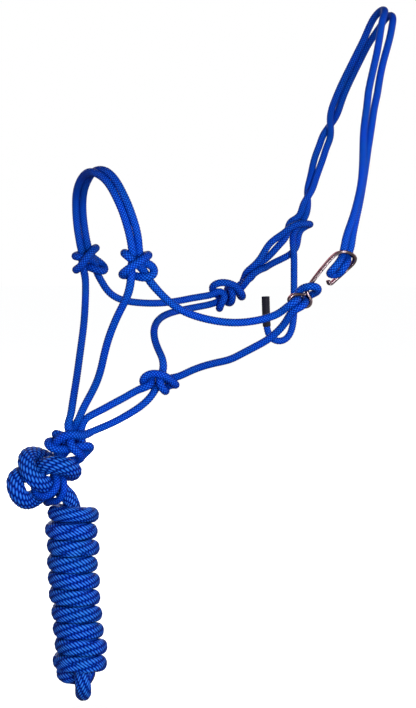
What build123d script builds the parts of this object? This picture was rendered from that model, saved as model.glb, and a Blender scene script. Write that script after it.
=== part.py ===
from build123d import *
import math
import os

# Rope halter with a flat-wire crown hook and a lead rope coiled into a hank.
# Two ropes make the whole thing: one long thin cord ties the halter, and one thick rope is the lead.
# +Z is up, -X points to the nose, -Y is the near (left) side of the horse and +Y the far side.
# The origin is the inside top of the crown, where the halter hangs from a peg. Units are millimetres.

# Ropes
CORD_D = 6.0                # halter cord diameter
CORD_SPAN = 30.0            # longest single sweep along a cord
LEAD_D = 13.6               # lead rope diameter
LEAD_SPAN = 60.0            # longest single sweep along the lead rope

# Crown hook
HOOK_W = 5.0                # width of the flat wire, across the hook
HOOK_T = 1.8                # thickness of the flat wire
HOOK_CORNER = 0.3 * HOOK_T  # corner radius of the wire's section
GUIDE_OFFSET = 20           # how far +Y of the hook line its guide runs, to hold the width along Y

# Sleeve on the tail cord's free end
SLEEVE_GAP = 0.25           # clearance all round between the cord and the bore
SLEEVE_WALL = 0.55
SLEEVE_BORE_D = CORD_D + 2 * SLEEVE_GAP
SLEEVE_D = SLEEVE_BORE_D + 2 * SLEEVE_WALL
SLEEVE_L = 27.0             # how much of the cord the sleeve covers
SLEEVE_LIP = 1.0            # how far the sleeve runs past the cord's cut end

# Centre lines. Each node holds one or more separate rope runs, and each run is
# (start direction, end direction, [x, y, z points the centre line passes through]).
CORD_RUNS = {
    # Two cords over the nose, from the near nose knot to the far one
    "noseband_cord_front": [
        ((-0.1714, 0.0273, 0.9848), (0.1785, 0.0632, -0.9819), [
            (-257.4, -56.88, -197.5), (-258.52, -56.16, -191.45), (-260.81, -53.77, -182.05),
            (-263.91, -50.63, -172.51), (-266.57, -46.67, -164.82), (-269.23, -40.86, -156.88),
            (-271.27, -34.77, -150.7), (-272.84, -28.83, -146.37), (-274.41, -22.6, -143.33),
            (-275.98, -15.97, -141.44), (-277, -9.05, -140.61), (-277.4, -0.45, -140.72), (-277.42, 10.87, -142.08),
            (-277.76, 19.97, -144.41), (-278.17, 28.16, -147.97), (-277.92, 36.38, -152.95), (-277, 42.71, -157.87),
            (-276.08, 46.99, -162.49), (-275.15, 50.32, -167.76), (-273.95, 53.43, -175.18),
            (-272.35, 56.01, -184.53), (-270.78, 57.01, -193.44)]),
    ],
    "noseband_cord_rear": [
        ((-0.1524, -0.2351, 0.96), (0.1813, 0.0673, -0.9811), [
            (-250.8, -56.61, -198.7), (-251.36, -57.24, -195.18), (-252, -57.39, -191.58), (-253, -57.04, -186.58),
            (-254.96, -55.83, -177.47), (-256.31, -54.49, -171.65), (-257.69, -52.59, -166.38),
            (-259.06, -49.99, -161.27), (-260.41, -46.54, -156.08), (-261.77, -42.49, -151.27),
            (-263.15, -38.55, -147.52), (-264.55, -34.8, -144.69), (-266.02, -31.03, -142.54),
            (-267.5, -27.07, -140.94), (-268.78, -22.88, -139.87), (-269.76, -18.36, -139.2),
            (-270.56, -12.67, -138.89), (-271.15, -4.94, -139.09), (-271.17, 3.45, -139.92),
            (-270.77, 10.71, -141.26), (-270.41, 16.33, -142.93), (-270.21, 21.59, -145.19),
            (-270.12, 27.95, -148.78), (-269.8, 37, -154.71), (-269.4, 42.05, -158.58), (-268.98, 45.62, -162),
            (-268.5, 48.55, -165.61), (-267.96, 50.98, -169.57), (-267.36, 52.94, -173.93),
            (-266.67, 54.41, -178.76), (-265.84, 55.41, -184.34), (-264.41, 56.1, -192.95)]),
    ],
    # Nose knots, where the noseband, chin and cheek cords meet on each side
    "near_nose_knot": [
        ((0.2622, -0.4919, 0.8302), (-0.1744, -0.1009, 0.9795), [
            (-261.26, -52.59, -245.8), (-259.51, -55.48, -239.69), (-258.15, -57.07, -232.63),
            (-257.59, -57.63, -226.82), (-257.25, -57.3, -223.65), (-256.73, -56.21, -220.78),
            (-256.09, -54.81, -217.7), (-255.64, -54.21, -215.06), (-255.38, -54.36, -212.16),
            (-255.56, -55.28, -208.36), (-256.71, -56.73, -201.44)]),
        ((-0.7016, 0.0361, 0.7116), (-0.1566, -0.2654, 0.9514), [
            (-231.96, -57.32, -240.36), (-237.89, -56.65, -233.9), (-241.61, -55.24, -228.59),
            (-243.42, -54.79, -225.43), (-244.98, -55.11, -222.94), (-246.68, -56, -220.98),
            (-249.57, -57.98, -218.47), (-252.73, -59.87, -215.97), (-255.59, -60.67, -213.79),
            (-257.85, -60.8, -211.97), (-259.52, -60.35, -210.51), (-260.8, -59.41, -209.24),
            (-261.68, -57.99, -208.19), (-262.07, -56.21, -207.44), (-261.89, -54.28, -207.05),
            (-261.14, -52.42, -207), (-259.84, -50.77, -207.25), (-257.89, -49.28, -207.77),
            (-254.94, -48.04, -208.56), (-251.58, -47.54, -209.27), (-248.66, -47.84, -209.58),
            (-246.21, -48.76, -209.55), (-244.39, -50.08, -209.3), (-243.13, -51.76, -208.97),
            (-242.47, -53.74, -208.68), (-242.44, -55.82, -208.59), (-243, -57.83, -208.78),
            (-244.25, -60.08, -209.29), (-246.57, -62.68, -210.32), (-250.13, -65.27, -212.07),
            (-252.93, -66.5, -213.61), (-255.51, -66.87, -215.15), (-258.73, -66.4, -217.23),
            (-261.44, -65.18, -219.2), (-263.24, -63.57, -220.79), (-264.34, -61.62, -222.12),
            (-264.75, -59.36, -223.2), (-264.41, -56.97, -223.98), (-263.34, -54.68, -224.44),
            (-261.68, -52.81, -224.67), (-259.78, -51.64, -224.78), (-257.8, -51.15, -224.88),
            (-255.84, -51.3, -225.03), (-254.05, -52.12, -225.22), (-252.57, -53.48, -225.48),
            (-251.14, -55.55, -225.88), (-249.61, -57.81, -226.34), (-247.73, -59.55, -226.55),
            (-245.63, -60.63, -226.47), (-243.5, -61.08, -226.06), (-241.56, -60.97, -225.28),
            (-240.01, -60.47, -224.14), (-238.98, -59.71, -222.65), (-238.61, -58.84, -220.93),
            (-238.95, -57.97, -219.2), (-239.93, -57.2, -217.67), (-241.49, -56.5, -216.34), (-244, -55.75, -214.95),
            (-246.08, -55.24, -213.7), (-247.7, -54.87, -212.02), (-248.78, -54.62, -209.84),
            (-249.45, -54.65, -207.03), (-250.18, -55.55, -202.51)]),
    ],
    "far_nose_knot": [
        ((0.2095, 0.0997, -0.9727), (0.0399, 0.072, -0.9966), [
            (-270.02, 57.32, -197.35), (-267.97, 58.51, -205.02), (-267.07, 58.94, -208.32),
            (-266.73, 59.04, -210.77), (-266.83, 58.9, -212.93), (-267.11, 58.46, -214.74),
            (-267.42, 57.63, -216.41), (-267.6, 56.54, -218.46), (-267.41, 55.73, -220.65),
            (-266.93, 55.35, -222.95), (-266.24, 55.43, -225.66), (-265.29, 56.18, -229.89),
            (-264.77, 56.92, -235.02)]),
        ((0.2123, 0.1119, -0.9708), (0.4535, -0.1672, -0.8754), [
            (-263.63, 56.45, -196.85), (-261.32, 58.3, -205.45), (-259.73, 59.85, -209.13), (-257.35, 61.56, -211.8),
            (-254.56, 62.59, -213.76), (-251.75, 62.45, -215.69), (-249.24, 61.19, -217.86),
            (-247.72, 59.48, -219.83), (-247.19, 57.76, -221.45), (-247.49, 56.02, -222.79),
            (-248.61, 54.39, -223.73), (-250.37, 53.12, -224.11), (-252.57, 52.38, -223.93),
            (-255.19, 52.34, -223.26), (-257.97, 53.32, -222.32), (-260.03, 55.09, -221.54),
            (-261.28, 57.34, -220.81), (-262.45, 59.74, -220.27), (-263.78, 61.31, -220.14),
            (-265.5, 62.29, -220.28), (-267.48, 62.53, -220.69), (-269.55, 61.99, -221.39),
            (-271.42, 60.55, -222.25), (-272.77, 58.34, -222.92), (-273.34, 56.03, -223.05), (-273.2, 53.71, -222.6),
            (-272.42, 51.4, -221.46), (-270.94, 49.1, -219.32), (-268.61, 47, -215.84), (-266.71, 46.31, -213.17),
            (-264.58, 46.68, -210.6), (-261.29, 48.43, -207.5), (-258.19, 51.02, -205.31), (-256.2, 53.8, -204.24),
            (-255.12, 56.88, -203.91), (-255.07, 60.05, -204.18), (-255.99, 62.8, -204.89), (-257.61, 64.77, -205.8),
            (-259.86, 65.99, -206.93), (-263.07, 66.47, -208.26), (-267.1, 65.86, -209.52),
            (-269.97, 64.51, -210.25), (-271.82, 62.76, -210.71), (-272.86, 60.44, -211.08),
            (-272.92, 57.84, -211.4), (-271.96, 55.44, -211.68), (-270.13, 53.62, -211.98),
            (-267.81, 52.68, -212.33), (-265.31, 52.69, -212.84), (-262.29, 53.67, -213.61),
            (-258.68, 55.7, -214.98), (-256.68, 57.06, -216.46), (-255.45, 58.07, -218.35),
            (-254.68, 58.81, -220.97), (-253.57, 58.94, -225.54), (-250.96, 57.78, -231.68)]),
    ],
    # Chin cords, between the nose knots and the fiador knot
    "near_chin_cord": [
        ((0.2302, -0.6143, 0.7547), (0.2625, -0.4932, 0.8294), [
            (-289.62, 1.82, -352.68), (-288.82, -0.02, -350.39), (-287.99, -1.34, -348.28),
            (-287.09, -2.31, -345.99), (-285.94, -3.13, -343.03), (-283.77, -4.63, -337.49),
            (-281.16, -7.11, -331.23), (-277.18, -11.8, -321.4), (-274.69, -16.01, -313.19),
            (-273.19, -20.35, -304.88), (-272.24, -25.87, -294.5), (-271.28, -31.52, -284.1),
            (-269.64, -37.18, -273.8), (-267.12, -42.6, -263.54), (-263.93, -47.75, -253.74),
            (-261.29, -52.54, -245.88)]),
    ],
    "far_chin_cord": [
        ((0.0379, 0.069, -0.9969), (-0.3559, -0.2583, -0.8981), [
            (-264.77, 56.93, -235.12), (-264.74, 56.97, -239), (-264.92, 56.52, -243.25), (-265.34, 55.53, -247.65),
            (-266.08, 53.75, -252.89), (-267.79, 49.73, -262.46), (-270.08, 45, -272.63), (-272.8, 39.99, -282.55),
            (-275.69, 34.78, -292.32), (-278.61, 29.4, -301.99), (-281.59, 23.87, -311.56), (-284.72, 18.21, -321),
            (-287.96, 12.3, -330.05), (-290.8, 6.57, -337.63), (-292.03, 4.16, -341.14), (-293.14, 2.61, -344.05),
            (-294.38, 1.49, -347.09)]),
    ],
    # Cheek cords, between the cheek and the nose knots
    "near_cheek_cord": [
        ((-0.4889, 0.668, -0.561), (-0.7021, 0.0361, 0.7112), [
            (-132.85, -75.83, -254.66), (-136.88, -72.68, -257.85), (-144.77, -70.67, -260.85),
            (-156.16, -68.49, -263.26), (-167.68, -65.99, -264.32), (-179.29, -63.73, -263.82),
            (-190.84, -61.98, -261.92), (-202.22, -60.67, -258.9), (-213.15, -59.3, -254.58),
            (-223.11, -58.01, -248.33), (-231.89, -57.33, -240.43)]),
    ],
    "far_cheek_cord": [
        ((0.4549, -0.1651, -0.8751), (0.9788, 0.1571, 0.1312), [
            (-250.91, 57.77, -231.77), (-248.71, 57.31, -235.72), (-246.21, 57.48, -239.45),
            (-243.09, 58.04, -242.98), (-239.41, 58.64, -245.98), (-235.19, 59.21, -248.41),
            (-230.22, 59.9, -250.32), (-223.32, 60.9, -251.94), (-212.15, 62.32, -253.34), (-200.33, 63.66, -254),
            (-188.51, 65.12, -253.81), (-176.79, 66.91, -252.65), (-165.17, 68.97, -251.02),
            (-153.6, 71.33, -249.39), (-145.45, 73, -248.52)]),
    ],
    # Throat cords, from each cheek to the throat knot
    "near_throat_cord": [
        ((0.7556, -0.5232, 0.3942), (0.2965, -0.6174, 0.7287), [
            (-196.15, -0.13, -313.67), (-189.25, -5.29, -309.68), (-182.51, -11.81, -305.9),
            (-175.39, -19.61, -302.53), (-168.01, -27.48, -299.95), (-162.13, -33.73, -297.37),
            (-156.34, -40, -293.34), (-149.43, -47, -288.2), (-142.33, -53.76, -283.01), (-136.07, -59.88, -277.39),
            (-131.7, -64.84, -271.85), (-128.71, -69.64, -266.12)]),
    ],
    "far_throat_cord": [
        ((-0.9203, -0.2995, -0.2516), (0.0371, -0.6418, -0.7659), [
            (-136.37, 77.09, -255.6), (-141.16, 75.53, -256.63), (-146.45, 74.34, -257.41), (-154.2, 73.03, -258.57),
            (-160.39, 71.41, -259.43), (-168.19, 68.46, -260.36), (-177.77, 64.02, -261.67),
            (-184.61, 60.01, -262.84), (-191.01, 55.29, -264.26), (-196.39, 50.61, -266.01),
            (-200.55, 46.46, -268.03), (-203.89, 42.52, -270.33), (-206.57, 38.55, -272.91),
            (-208.62, 34.57, -275.74), (-210.06, 30.6, -278.86), (-210.92, 26.56, -282.33),
            (-211.22, 21.84, -286.57), (-210.9, 15.4, -292), (-210.58, 10, -295.93), (-210.48, 7.89, -297.62),
            (-210.39, 6.35, -299.2)]),
    ],
    "throat_knot": [
        ((0.0369, -0.6359, -0.7709), (-0.6445, -0.1916, -0.7402), [
            (-210.39, 6.28, -299.28), (-210.29, 4.61, -302.03), (-210.32, 3.86, -305.14), (-210.65, 3.98, -308.64),
            (-211.85, 4.67, -313.4), (-213.72, 4.55, -317.81), (-216.43, 3.13, -322.57), (-221.34, 0.79, -329.11)]),
        ((0.8455, -0.2449, 0.4745), (0.7563, -0.5235, 0.3924), [
            (-237.86, -0.58, -326.06), (-233.34, -2.48, -323.7), (-230.37, -3.71, -322.46),
            (-228.25, -4.07, -321.63), (-226.3, -3.8, -320.77), (-224.62, -2.88, -319.77), (-223.4, -1.45, -318.57),
            (-222.8, 0.06, -317.25), (-222.26, 1.18, -315.69), (-221.25, 1.53, -314.03), (-219.83, 1.09, -312.74),
            (-218.26, 0.01, -312.22), (-216.93, -1.39, -312.65), (-216.16, -2.73, -313.87),
            (-216.04, -3.77, -315.56), (-216.18, -4.66, -317.6), (-216.01, -5.34, -319.74),
            (-215.28, -5.65, -321.76), (-214.09, -5.43, -323.54), (-212.69, -4.61, -324.97),
            (-211.31, -3.21, -325.96), (-210.11, -1.3, -326.46), (-209.13, 1.07, -326.42), (-208.23, 3.77, -325.78),
            (-207.39, 5.55, -325.02), (-206.18, 6.87, -324.16), (-204.53, 7.53, -323.28), (-202.7, 7.31, -322.57),
            (-201.1, 6.24, -322.12), (-200.11, 4.54, -321.91), (-199.83, 2.57, -321.8), (-200.2, 0.58, -321.57),
            (-201.18, -1.49, -321), (-202.73, -3.44, -319.89), (-205.01, -5.25, -318.04), (-209.64, -7.45, -314.72),
            (-212.85, -8.54, -312.83), (-215.3, -8.79, -311.7), (-217.9, -8.35, -310.92), (-221.51, -7.21, -310.41),
            (-224.57, -6.06, -310.68), (-226.89, -4.93, -311.57), (-228.57, -3.64, -312.89),
            (-229.57, -2.14, -314.56), (-229.79, -0.5, -316.38), (-229.25, 1.17, -318.21), (-228.14, 2.58, -319.7),
            (-226.53, 3.81, -320.82), (-223.91, 5.59, -321.75), (-220.39, 8.05, -322.01), (-217.48, 9.73, -321.54),
            (-214.81, 10.57, -320.68), (-212.15, 10.59, -319.54), (-209.6, 9.73, -318.33), (-206.8, 7.91, -317.18),
            (-201.76, 3.86, -315.85), (-196.23, -0.08, -313.71)]),
    ],
    # Fiador cords, between the throat knot and the fiador knot
    "fiador_upper_cord": [
        ((0.2848, -0.0929, 0.9541), (0.8464, -0.2401, 0.4753), [
            (-283.35, 1.9, -353.6), (-282.63, 1.59, -351.45), (-281.8, 1.21, -349.69), (-280.71, 0.79, -348.12),
            (-279.35, 0.42, -346.77), (-277.75, 0.13, -345.63), (-275.77, -0.05, -344.55), (-272.45, -0.09, -343.03),
            (-262.59, -0.01, -338.31), (-251.96, 0, -333.29), (-243.9, 0.14, -329.37), (-240.62, -0.03, -327.61),
            (-237.94, -0.56, -326.11)]),
    ],
    "fiador_lower_cord": [
        ((-0.646, -0.1891, -0.7395), (-0.926, -0.2221, -0.3054), [
            (-221.41, 0.77, -329.18), (-228.91, -0.11, -336.31), (-237.53, -0.03, -342.14), (-246.69, 0.01, -347.1),
            (-256.17, 0.01, -351.41), (-265.87, 0, -355.2), (-275.2, -0.68, -358.4)]),
    ],
    "fiador_knot": [
        ((-0.8839, -0.3862, -0.2639), (0.125, -0.4171, -0.9002), [
            (-278.1, -1.66, -359.32), (-282.67, -4.07, -360.35), (-287.62, -6.13, -360.33),
            (-291.91, -7.65, -359.46), (-294.88, -8.05, -359.09), (-298.15, -7.68, -359.38),
            (-301.69, -6.49, -360.55), (-304.47, -4.64, -362.42), (-306.22, -2.27, -364.88),
            (-306.91, 0.38, -368.02), (-306.6, 2.42, -370.79), (-305.52, 3.79, -373.17), (-303.9, 4.26, -375.56),
            (-302.33, 3.71, -378.06), (-301.41, 2.42, -380.91)]),
        ((0.2891, -0.8431, 0.4534), (0.1755, -0.5016, 0.8471), [
            (-286.91, 12.28, -385.9), (-285.66, 9.72, -384.13), (-283.88, 7.78, -381.87), (-280.95, 5.95, -378.44),
            (-278.8, 4.61, -376.03), (-277.64, 3.35, -374.5), (-277.05, 1.93, -373.23), (-277.05, 0.33, -372.12),
            (-277.7, -1.26, -371.21), (-278.97, -2.58, -370.55), (-280.67, -3.45, -370.14),
            (-282.66, -3.82, -369.95), (-285.06, -3.67, -369.98), (-288.56, -2.88, -370.45),
            (-292.49, -2.24, -371.42), (-295.73, -2.43, -372.06), (-299.32, -3.2, -372.07),
            (-304.33, -4.65, -371.65), (-306.88, -5.08, -371.3), (-308.89, -4.97, -370.82),
            (-310.69, -4.33, -370.07), (-312.09, -3.16, -369.11), (-312.94, -1.56, -368.05),
            (-313.14, 0.29, -367.08), (-312.69, 2.23, -366.34), (-311.64, 4.03, -365.94), (-310.06, 5.6, -365.92),
            (-308.07, 6.74, -366.23), (-305.25, 7.6, -366.77), (-301.74, 8.2, -366.95), (-298.86, 8.44, -366.4),
            (-296.65, 8.28, -365.47), (-294.59, 7.63, -364.16), (-292.55, 6.62, -361.96), (-291.2, 5.49, -359.17),
            (-290.25, 3.62, -355.25)]),
        ((-0.2464, -0.1718, -0.9538), (-0.9007, 0.4285, -0.0716), [
            (-295.39, 0.82, -350.05), (-295.73, 0.24, -353.84), (-294.9, -0.52, -357.78), (-294.46, -2, -361.27),
            (-295.15, -4.24, -364.41), (-295.48, -6.37, -366.84), (-294.86, -7.84, -368.91),
            (-293.48, -8.5, -371.06), (-291.34, -8.22, -373.32), (-288.35, -6.51, -375.94),
            (-286.34, -4.13, -378.21), (-285.72, -1.71, -380.08), (-286.36, 0.82, -381.6), (-288.16, 3.16, -382.53),
            (-291.23, 5.22, -382.94)]),
        ((0.7868, -0.3036, 0.5373), (0.3404, 0.034, 0.9396), [
            (-300.56, 10.16, -379.91), (-298.18, 8.8, -377.99), (-296.64, 7.14, -375.78), (-295.97, 5.4, -373.2),
            (-296.18, 3.75, -370.38), (-296.83, 2.63, -368.29), (-297.78, 1.92, -366.18), (-299.3, 1.3, -363.61),
            (-300.55, 1.04, -362.03), (-302.04, 1.25, -360.76), (-303.59, 2.16, -359.95), (-304.76, 3.73, -359.68),
            (-305.2, 5.63, -359.87), (-304.86, 7.53, -360.3), (-303.92, 9.25, -360.78), (-302.12, 11.22, -361.4),
            (-299.66, 13.04, -362.12), (-297.36, 13.96, -362.83), (-294.92, 14.12, -363.55),
            (-292.33, 13.51, -364.27), (-288.74, 11.77, -365.34), (-286.03, 10.04, -366.43),
            (-284.61, 8.67, -367.07), (-283.62, 7, -367.44), (-283.21, 5.08, -367.31), (-283.45, 3.28, -366.55),
            (-284.12, 2.03, -365.19), (-284.86, 1.51, -363.43), (-285.28, 1.55, -361.49), (-285.13, 1.78, -359.31),
            (-284.32, 1.99, -356.64)]),
    ],
    # Two loops hanging below the fiador knot, which the lead rope is tied to
    "fiador_loop_outer": [
        ((0.1157, -0.4154, -0.9023), (0.2844, -0.8469, 0.4492), [
            (-301.4, 2.38, -381), (-301.45, 1.27, -384.02), (-301.94, 1.03, -387.08), (-302.39, 0.99, -390.26),
            (-302.43, 0.33, -392.75), (-302.28, -1.23, -394.95), (-302.12, -3.94, -397.02),
            (-302.08, -6.86, -399.27), (-302.18, -8.63, -401.82), (-302.5, -9.33, -404.82),
            (-303.17, -8.94, -408.06), (-304.38, -7.36, -411.39), (-306.19, -4.48, -414.32),
            (-308.29, -0.59, -416.14), (-310.1, 3.67, -416.98), (-311.1, 8.21, -418.37), (-311.32, 12.94, -419.73),
            (-311.35, 17.43, -419.68), (-311.18, 21.26, -418.35), (-310.69, 24.16, -416.08),
            (-309.96, 25.94, -413.2), (-309.11, 26.53, -409.95), (-308.2, 25.86, -406.64), (-306.92, 24.4, -403.57),
            (-305.31, 23.58, -401.34), (-303.21, 23.67, -399.44), (-300.57, 24.65, -397.71),
            (-297.65, 25.66, -395.96), (-294.83, 25.49, -394), (-292.2, 24.08, -392), (-289.78, 21.27, -389.95),
            (-288.05, 16.97, -387.9), (-286.94, 12.36, -385.95)]),
    ],
    "fiador_loop_inner": [
        ((-0.9038, 0.4218, -0.0726), (0.7901, -0.2961, 0.5368), [
            (-291.32, 5.26, -382.94), (-294.49, 6.33, -383.38), (-297.61, 6.84, -384.47), (-300.8, 7.22, -386.34),
            (-303.16, 7.37, -388.49), (-304.77, 7.05, -390.21), (-306.16, 6.18, -391.6), (-307.38, 4.74, -392.61),
            (-308.26, 2.85, -393.15), (-308.68, 0.59, -393.35), (-308.54, -2.05, -393.5), (-308.29, -4.82, -394.33),
            (-308.24, -7.35, -395.97), (-308.5, -9.43, -398.2), (-309.29, -10.87, -400.76),
            (-310.77, -11.72, -403.42), (-312.79, -11.9, -405.77), (-315.07, -11.35, -407.66),
            (-317.37, -10.02, -409.06), (-319.55, -8.04, -409.82), (-321.58, -5.77, -409.74),
            (-323.35, -3.57, -408.79), (-324.45, -1.75, -407.44), (-324.88, 0.12, -406), (-324.7, 2.49, -404.55),
            (-323.79, 5.89, -403.14), (-321.84, 10.85, -401.96), (-320.36, 13.57, -401.3), (-319.09, 15.35, -400.36),
            (-317.86, 16.55, -399.02), (-316.67, 17.14, -397.33), (-315.58, 17.02, -395.49),
            (-314.59, 16.21, -393.67), (-313.56, 14.67, -391.86), (-312.35, 12.68, -390.06),
            (-310.89, 11.26, -388.27), (-308.96, 10.51, -386.26), (-306.54, 10.5, -384.1), (-303.45, 10.73, -381.85),
            (-300.64, 10.19, -379.97)]),
    ],
    # Far side, from the cheek knot up to the tie
    "far_cheek_knot": [
        ((-0.7645, 0.4268, -0.4831), (-0.9203, -0.2978, -0.2537), [
            (-106.32, 75.78, -235.97), (-109.55, 78.06, -238.32), (-112.03, 79.91, -240.94),
            (-114.09, 80.9, -243.75), (-115.67, 81.12, -245.78), (-117.27, 80.92, -247.25), (-119.12, 80.36, -248.3),
            (-121.84, 79.3, -249.37), (-124.45, 78.56, -250.49), (-127.38, 78.35, -252.1), (-131.79, 78.15, -254.16),
            (-136.28, 77.12, -255.57)]),
        ((0.9788, 0.1556, 0.1333), (0.3133, -0.2721, 0.9098), [
            (-145.36, 73.01, -248.5), (-139.73, 73.66, -247.19), (-135.95, 73.77, -245.74), (-134, 73.65, -245.18),
            (-132.08, 73.25, -245.13), (-130.38, 72.52, -245.8), (-129.28, 71.63, -247.14),
            (-128.96, 70.79, -248.89), (-129.33, 70.23, -250.74), (-130.17, 70.03, -252.68),
            (-131.24, 70.38, -254.88), (-131.95, 71.28, -256.85), (-132.18, 72.66, -258.56),
            (-131.98, 74.36, -259.81), (-131.48, 76.31, -260.48), (-130.73, 78.53, -260.6),
            (-129.51, 81.56, -260.07), (-127.37, 85.94, -258.75), (-125.97, 87.97, -257.88),
            (-124.63, 89.27, -256.88), (-123.2, 90, -255.51), (-121.87, 90.13, -253.84), (-120.66, 89.71, -251.7),
            (-119.89, 88.73, -249.09), (-119.83, 87.26, -246.26), (-120.22, 85.63, -244.14),
            (-120.57, 84.06, -242.89), (-120.77, 82.21, -242.14), (-120.84, 79.94, -241.85),
            (-120.85, 76.96, -242.2), (-120.87, 74.52, -243.16), (-120.91, 72.81, -244.44),
            (-120.92, 71.64, -246.02), (-120.84, 71.07, -247.9), (-120.74, 71.14, -249.95), (-120.67, 71.9, -251.94),
            (-120.63, 73.32, -253.67), (-120.64, 75.33, -254.99), (-120.79, 77.75, -255.71),
            (-121.13, 79.88, -255.76), (-121.77, 81.75, -255.3), (-122.76, 83.25, -254.39), (-124.05, 84.23, -253.2),
            (-125.77, 84.77, -251.82), (-128.17, 84.73, -250.21), (-131.11, 83.84, -248.42),
            (-134.64, 81.86, -245.89), (-136.62, 80.16, -243.76), (-137.58, 78.64, -242.05),
            (-137.89, 76.82, -240.47), (-137.46, 74.83, -239.03), (-136.27, 72.98, -237.85),
            (-134.44, 71.44, -236.99), (-132.03, 70.3, -236.52), (-129, 69.56, -236.52), (-124.81, 69.2, -237.26),
            (-120.49, 68.91, -238.86), (-117.12, 68.36, -241.15), (-114.9, 68.02, -243.56), (-113.5, 68.23, -245.44),
            (-112.21, 69.11, -247.21), (-111.07, 70.64, -248.74), (-110.31, 72.39, -249.69),
            (-109.9, 74.41, -250.16), (-109.68, 76.93, -250.14), (-109.5, 79.69, -249.37), (-109.26, 81.87, -248.03),
            (-108.88, 83.42, -246.26), (-108.4, 84.32, -244.15), (-107.78, 84.54, -241.8), (-106.9, 84.06, -239.09)]),
        ((-0.4656, 0.4646, -0.7532), (-0.3859, -0.1134, -0.9155), [
            (-108.97, 70.54, -238.36), (-111.33, 73.05, -241.75), (-113.16, 74.36, -243.85),
            (-114.69, 74.85, -245.75), (-115.72, 74.83, -247.59)]),
    ],
    "far_loop": [
        ((-0.6894, -0.1465, -0.7094), (-0.7673, 0.4214, -0.4834), [
            (-69.12, 72.34, -197.71), (-73.67, 71.81, -202.17), (-78.94, 72.35, -207.77), (-83.8, 73.09, -212.81),
            (-87.52, 74.26, -216), (-90.41, 75.61, -218.49), (-92.35, 76.4, -220.7), (-94.22, 76.7, -223.39),
            (-96.14, 76.32, -226.41), (-98.38, 75.32, -229.64), (-100.09, 74.72, -231.57), (-102, 74.51, -233.18),
            (-104.07, 74.83, -234.57), (-106.24, 75.74, -235.92)]),
        ((0.3132, -0.2781, 0.9081), (0.8278, -0.0956, 0.5528), [
            (-106.87, 84.03, -239), (-105.39, 81.82, -234.05), (-104.77, 78.67, -229.35), (-103.83, 75.65, -226.3),
            (-101.52, 72.56, -223.27), (-98.16, 70.45, -219.78), (-94.25, 69.6, -215.22), (-88.97, 70.2, -207.77),
            (-82.99, 70.95, -200.44), (-76.37, 70.91, -195.32)]),
        ((-0.2112, -0.1423, -0.967), (-0.4661, 0.4608, -0.7552), [
            (-52.19, 77.39, -197.5), (-52.84, 77.17, -200.45), (-53.58, 77.25, -202.98), (-54.51, 77.42, -205.1),
            (-55.73, 77.61, -207.01), (-57.25, 77.73, -208.7), (-59.06, 77.78, -210.2), (-61.38, 77.71, -211.67),
            (-65.27, 77.47, -213.62), (-74.21, 77.1, -217.57), (-77.78, 76.84, -219.1), (-80.47, 76.3, -220.3),
            (-83.02, 75.35, -221.48), (-85.6, 73.94, -222.62), (-88.54, 72.2, -223.63), (-91.67, 70.68, -224.46),
            (-94.52, 69.57, -225.42), (-97.27, 68.76, -226.73), (-99.94, 68.26, -228.36), (-102.32, 68.1, -230.15),
            (-104.33, 68.23, -232.02), (-106.07, 68.64, -234.02), (-107.56, 69.38, -236.12),
            (-108.92, 70.49, -238.29)]),
    ],
    "crown_tie": [
        ((-0.0593, 0.0002, 0.9982), (0.1335, -0.2464, 0.9599), [
            (-59.2, 70.39, -211.33), (-59.83, 71.24, -201.36), (-58.77, 73.46, -193.89), (-55.18, 75.66, -187.67),
            (-50.04, 76.39, -182.13), (-46.74, 75.15, -177.16), (-45.02, 72.79, -170.6)]),
        ((-0.1294, 0.3561, -0.9254), (-0.6876, -0.1476, -0.7109), [
            (-51.04, 71.28, -168.92), (-51.78, 72.87, -172.65), (-53.01, 74.12, -175.09), (-55.03, 75.1, -177.01),
            (-57.77, 75.5, -178.64), (-60.4, 75.22, -180.38), (-62.27, 74.62, -182.6), (-63.38, 74.06, -185.43),
            (-64.36, 73.56, -189.84), (-66.04, 73.09, -193.87), (-69.05, 72.35, -197.64)]),
        ((0.8277, -0.0985, 0.5524), (-0.2121, -0.1471, -0.9661), [
            (-76.29, 70.9, -195.27), (-69.72, 69.11, -190.49), (-63.87, 66.65, -185.66), (-59.47, 65.68, -183.36),
            (-54.57, 65.58, -182.24), (-49.19, 66.58, -182.09), (-45.4, 68.34, -182.3), (-43.01, 70.45, -182.51),
            (-41.67, 72.81, -182.75), (-41.26, 75.23, -183.11), (-41.73, 77.51, -183.71), (-42.97, 79.33, -184.6),
            (-44.73, 80.43, -185.82), (-46.7, 80.71, -187.37), (-48.74, 80.16, -189.44), (-50.73, 78.75, -192.67),
            (-52.17, 77.4, -197.41)]),
    ],
    # Two cords over the crown, joined on the near side by a bight through the hook's top curl
    "crown_cord_inner": [
        ((0.0961, -0.0548, 0.9939), (-0.2256, -0.1394, -0.9642), [
            (-44.62, 72.24, -167.08), (-44.38, 72.29, -164.24), (-44.23, 72.76, -160.74), (-44.32, 73.43, -155.52),
            (-44.17, 73.8, -149.62), (-43.72, 73.8, -145.05), (-43.43, 73.41, -141.59), (-43.35, 72.57, -138.23),
            (-43.46, 71.15, -134.52), (-43.73, 67.87, -127.62), (-43.42, 64.89, -121.26), (-42.42, 62.36, -115.35),
            (-40.66, 60.04, -109.42), (-38.26, 58.03, -103.86), (-35.19, 56.37, -98.38), (-33, 55.29, -94.88),
            (-31.53, 54.23, -92.53), (-30.28, 52.81, -90.34), (-29.26, 51.02, -88.18), (-28.35, 48.52, -85.52),
            (-27.49, 45.83, -82.31), (-26.6, 43.78, -79.11), (-25.45, 42.07, -75.47), (-23.24, 39.82, -69),
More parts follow.
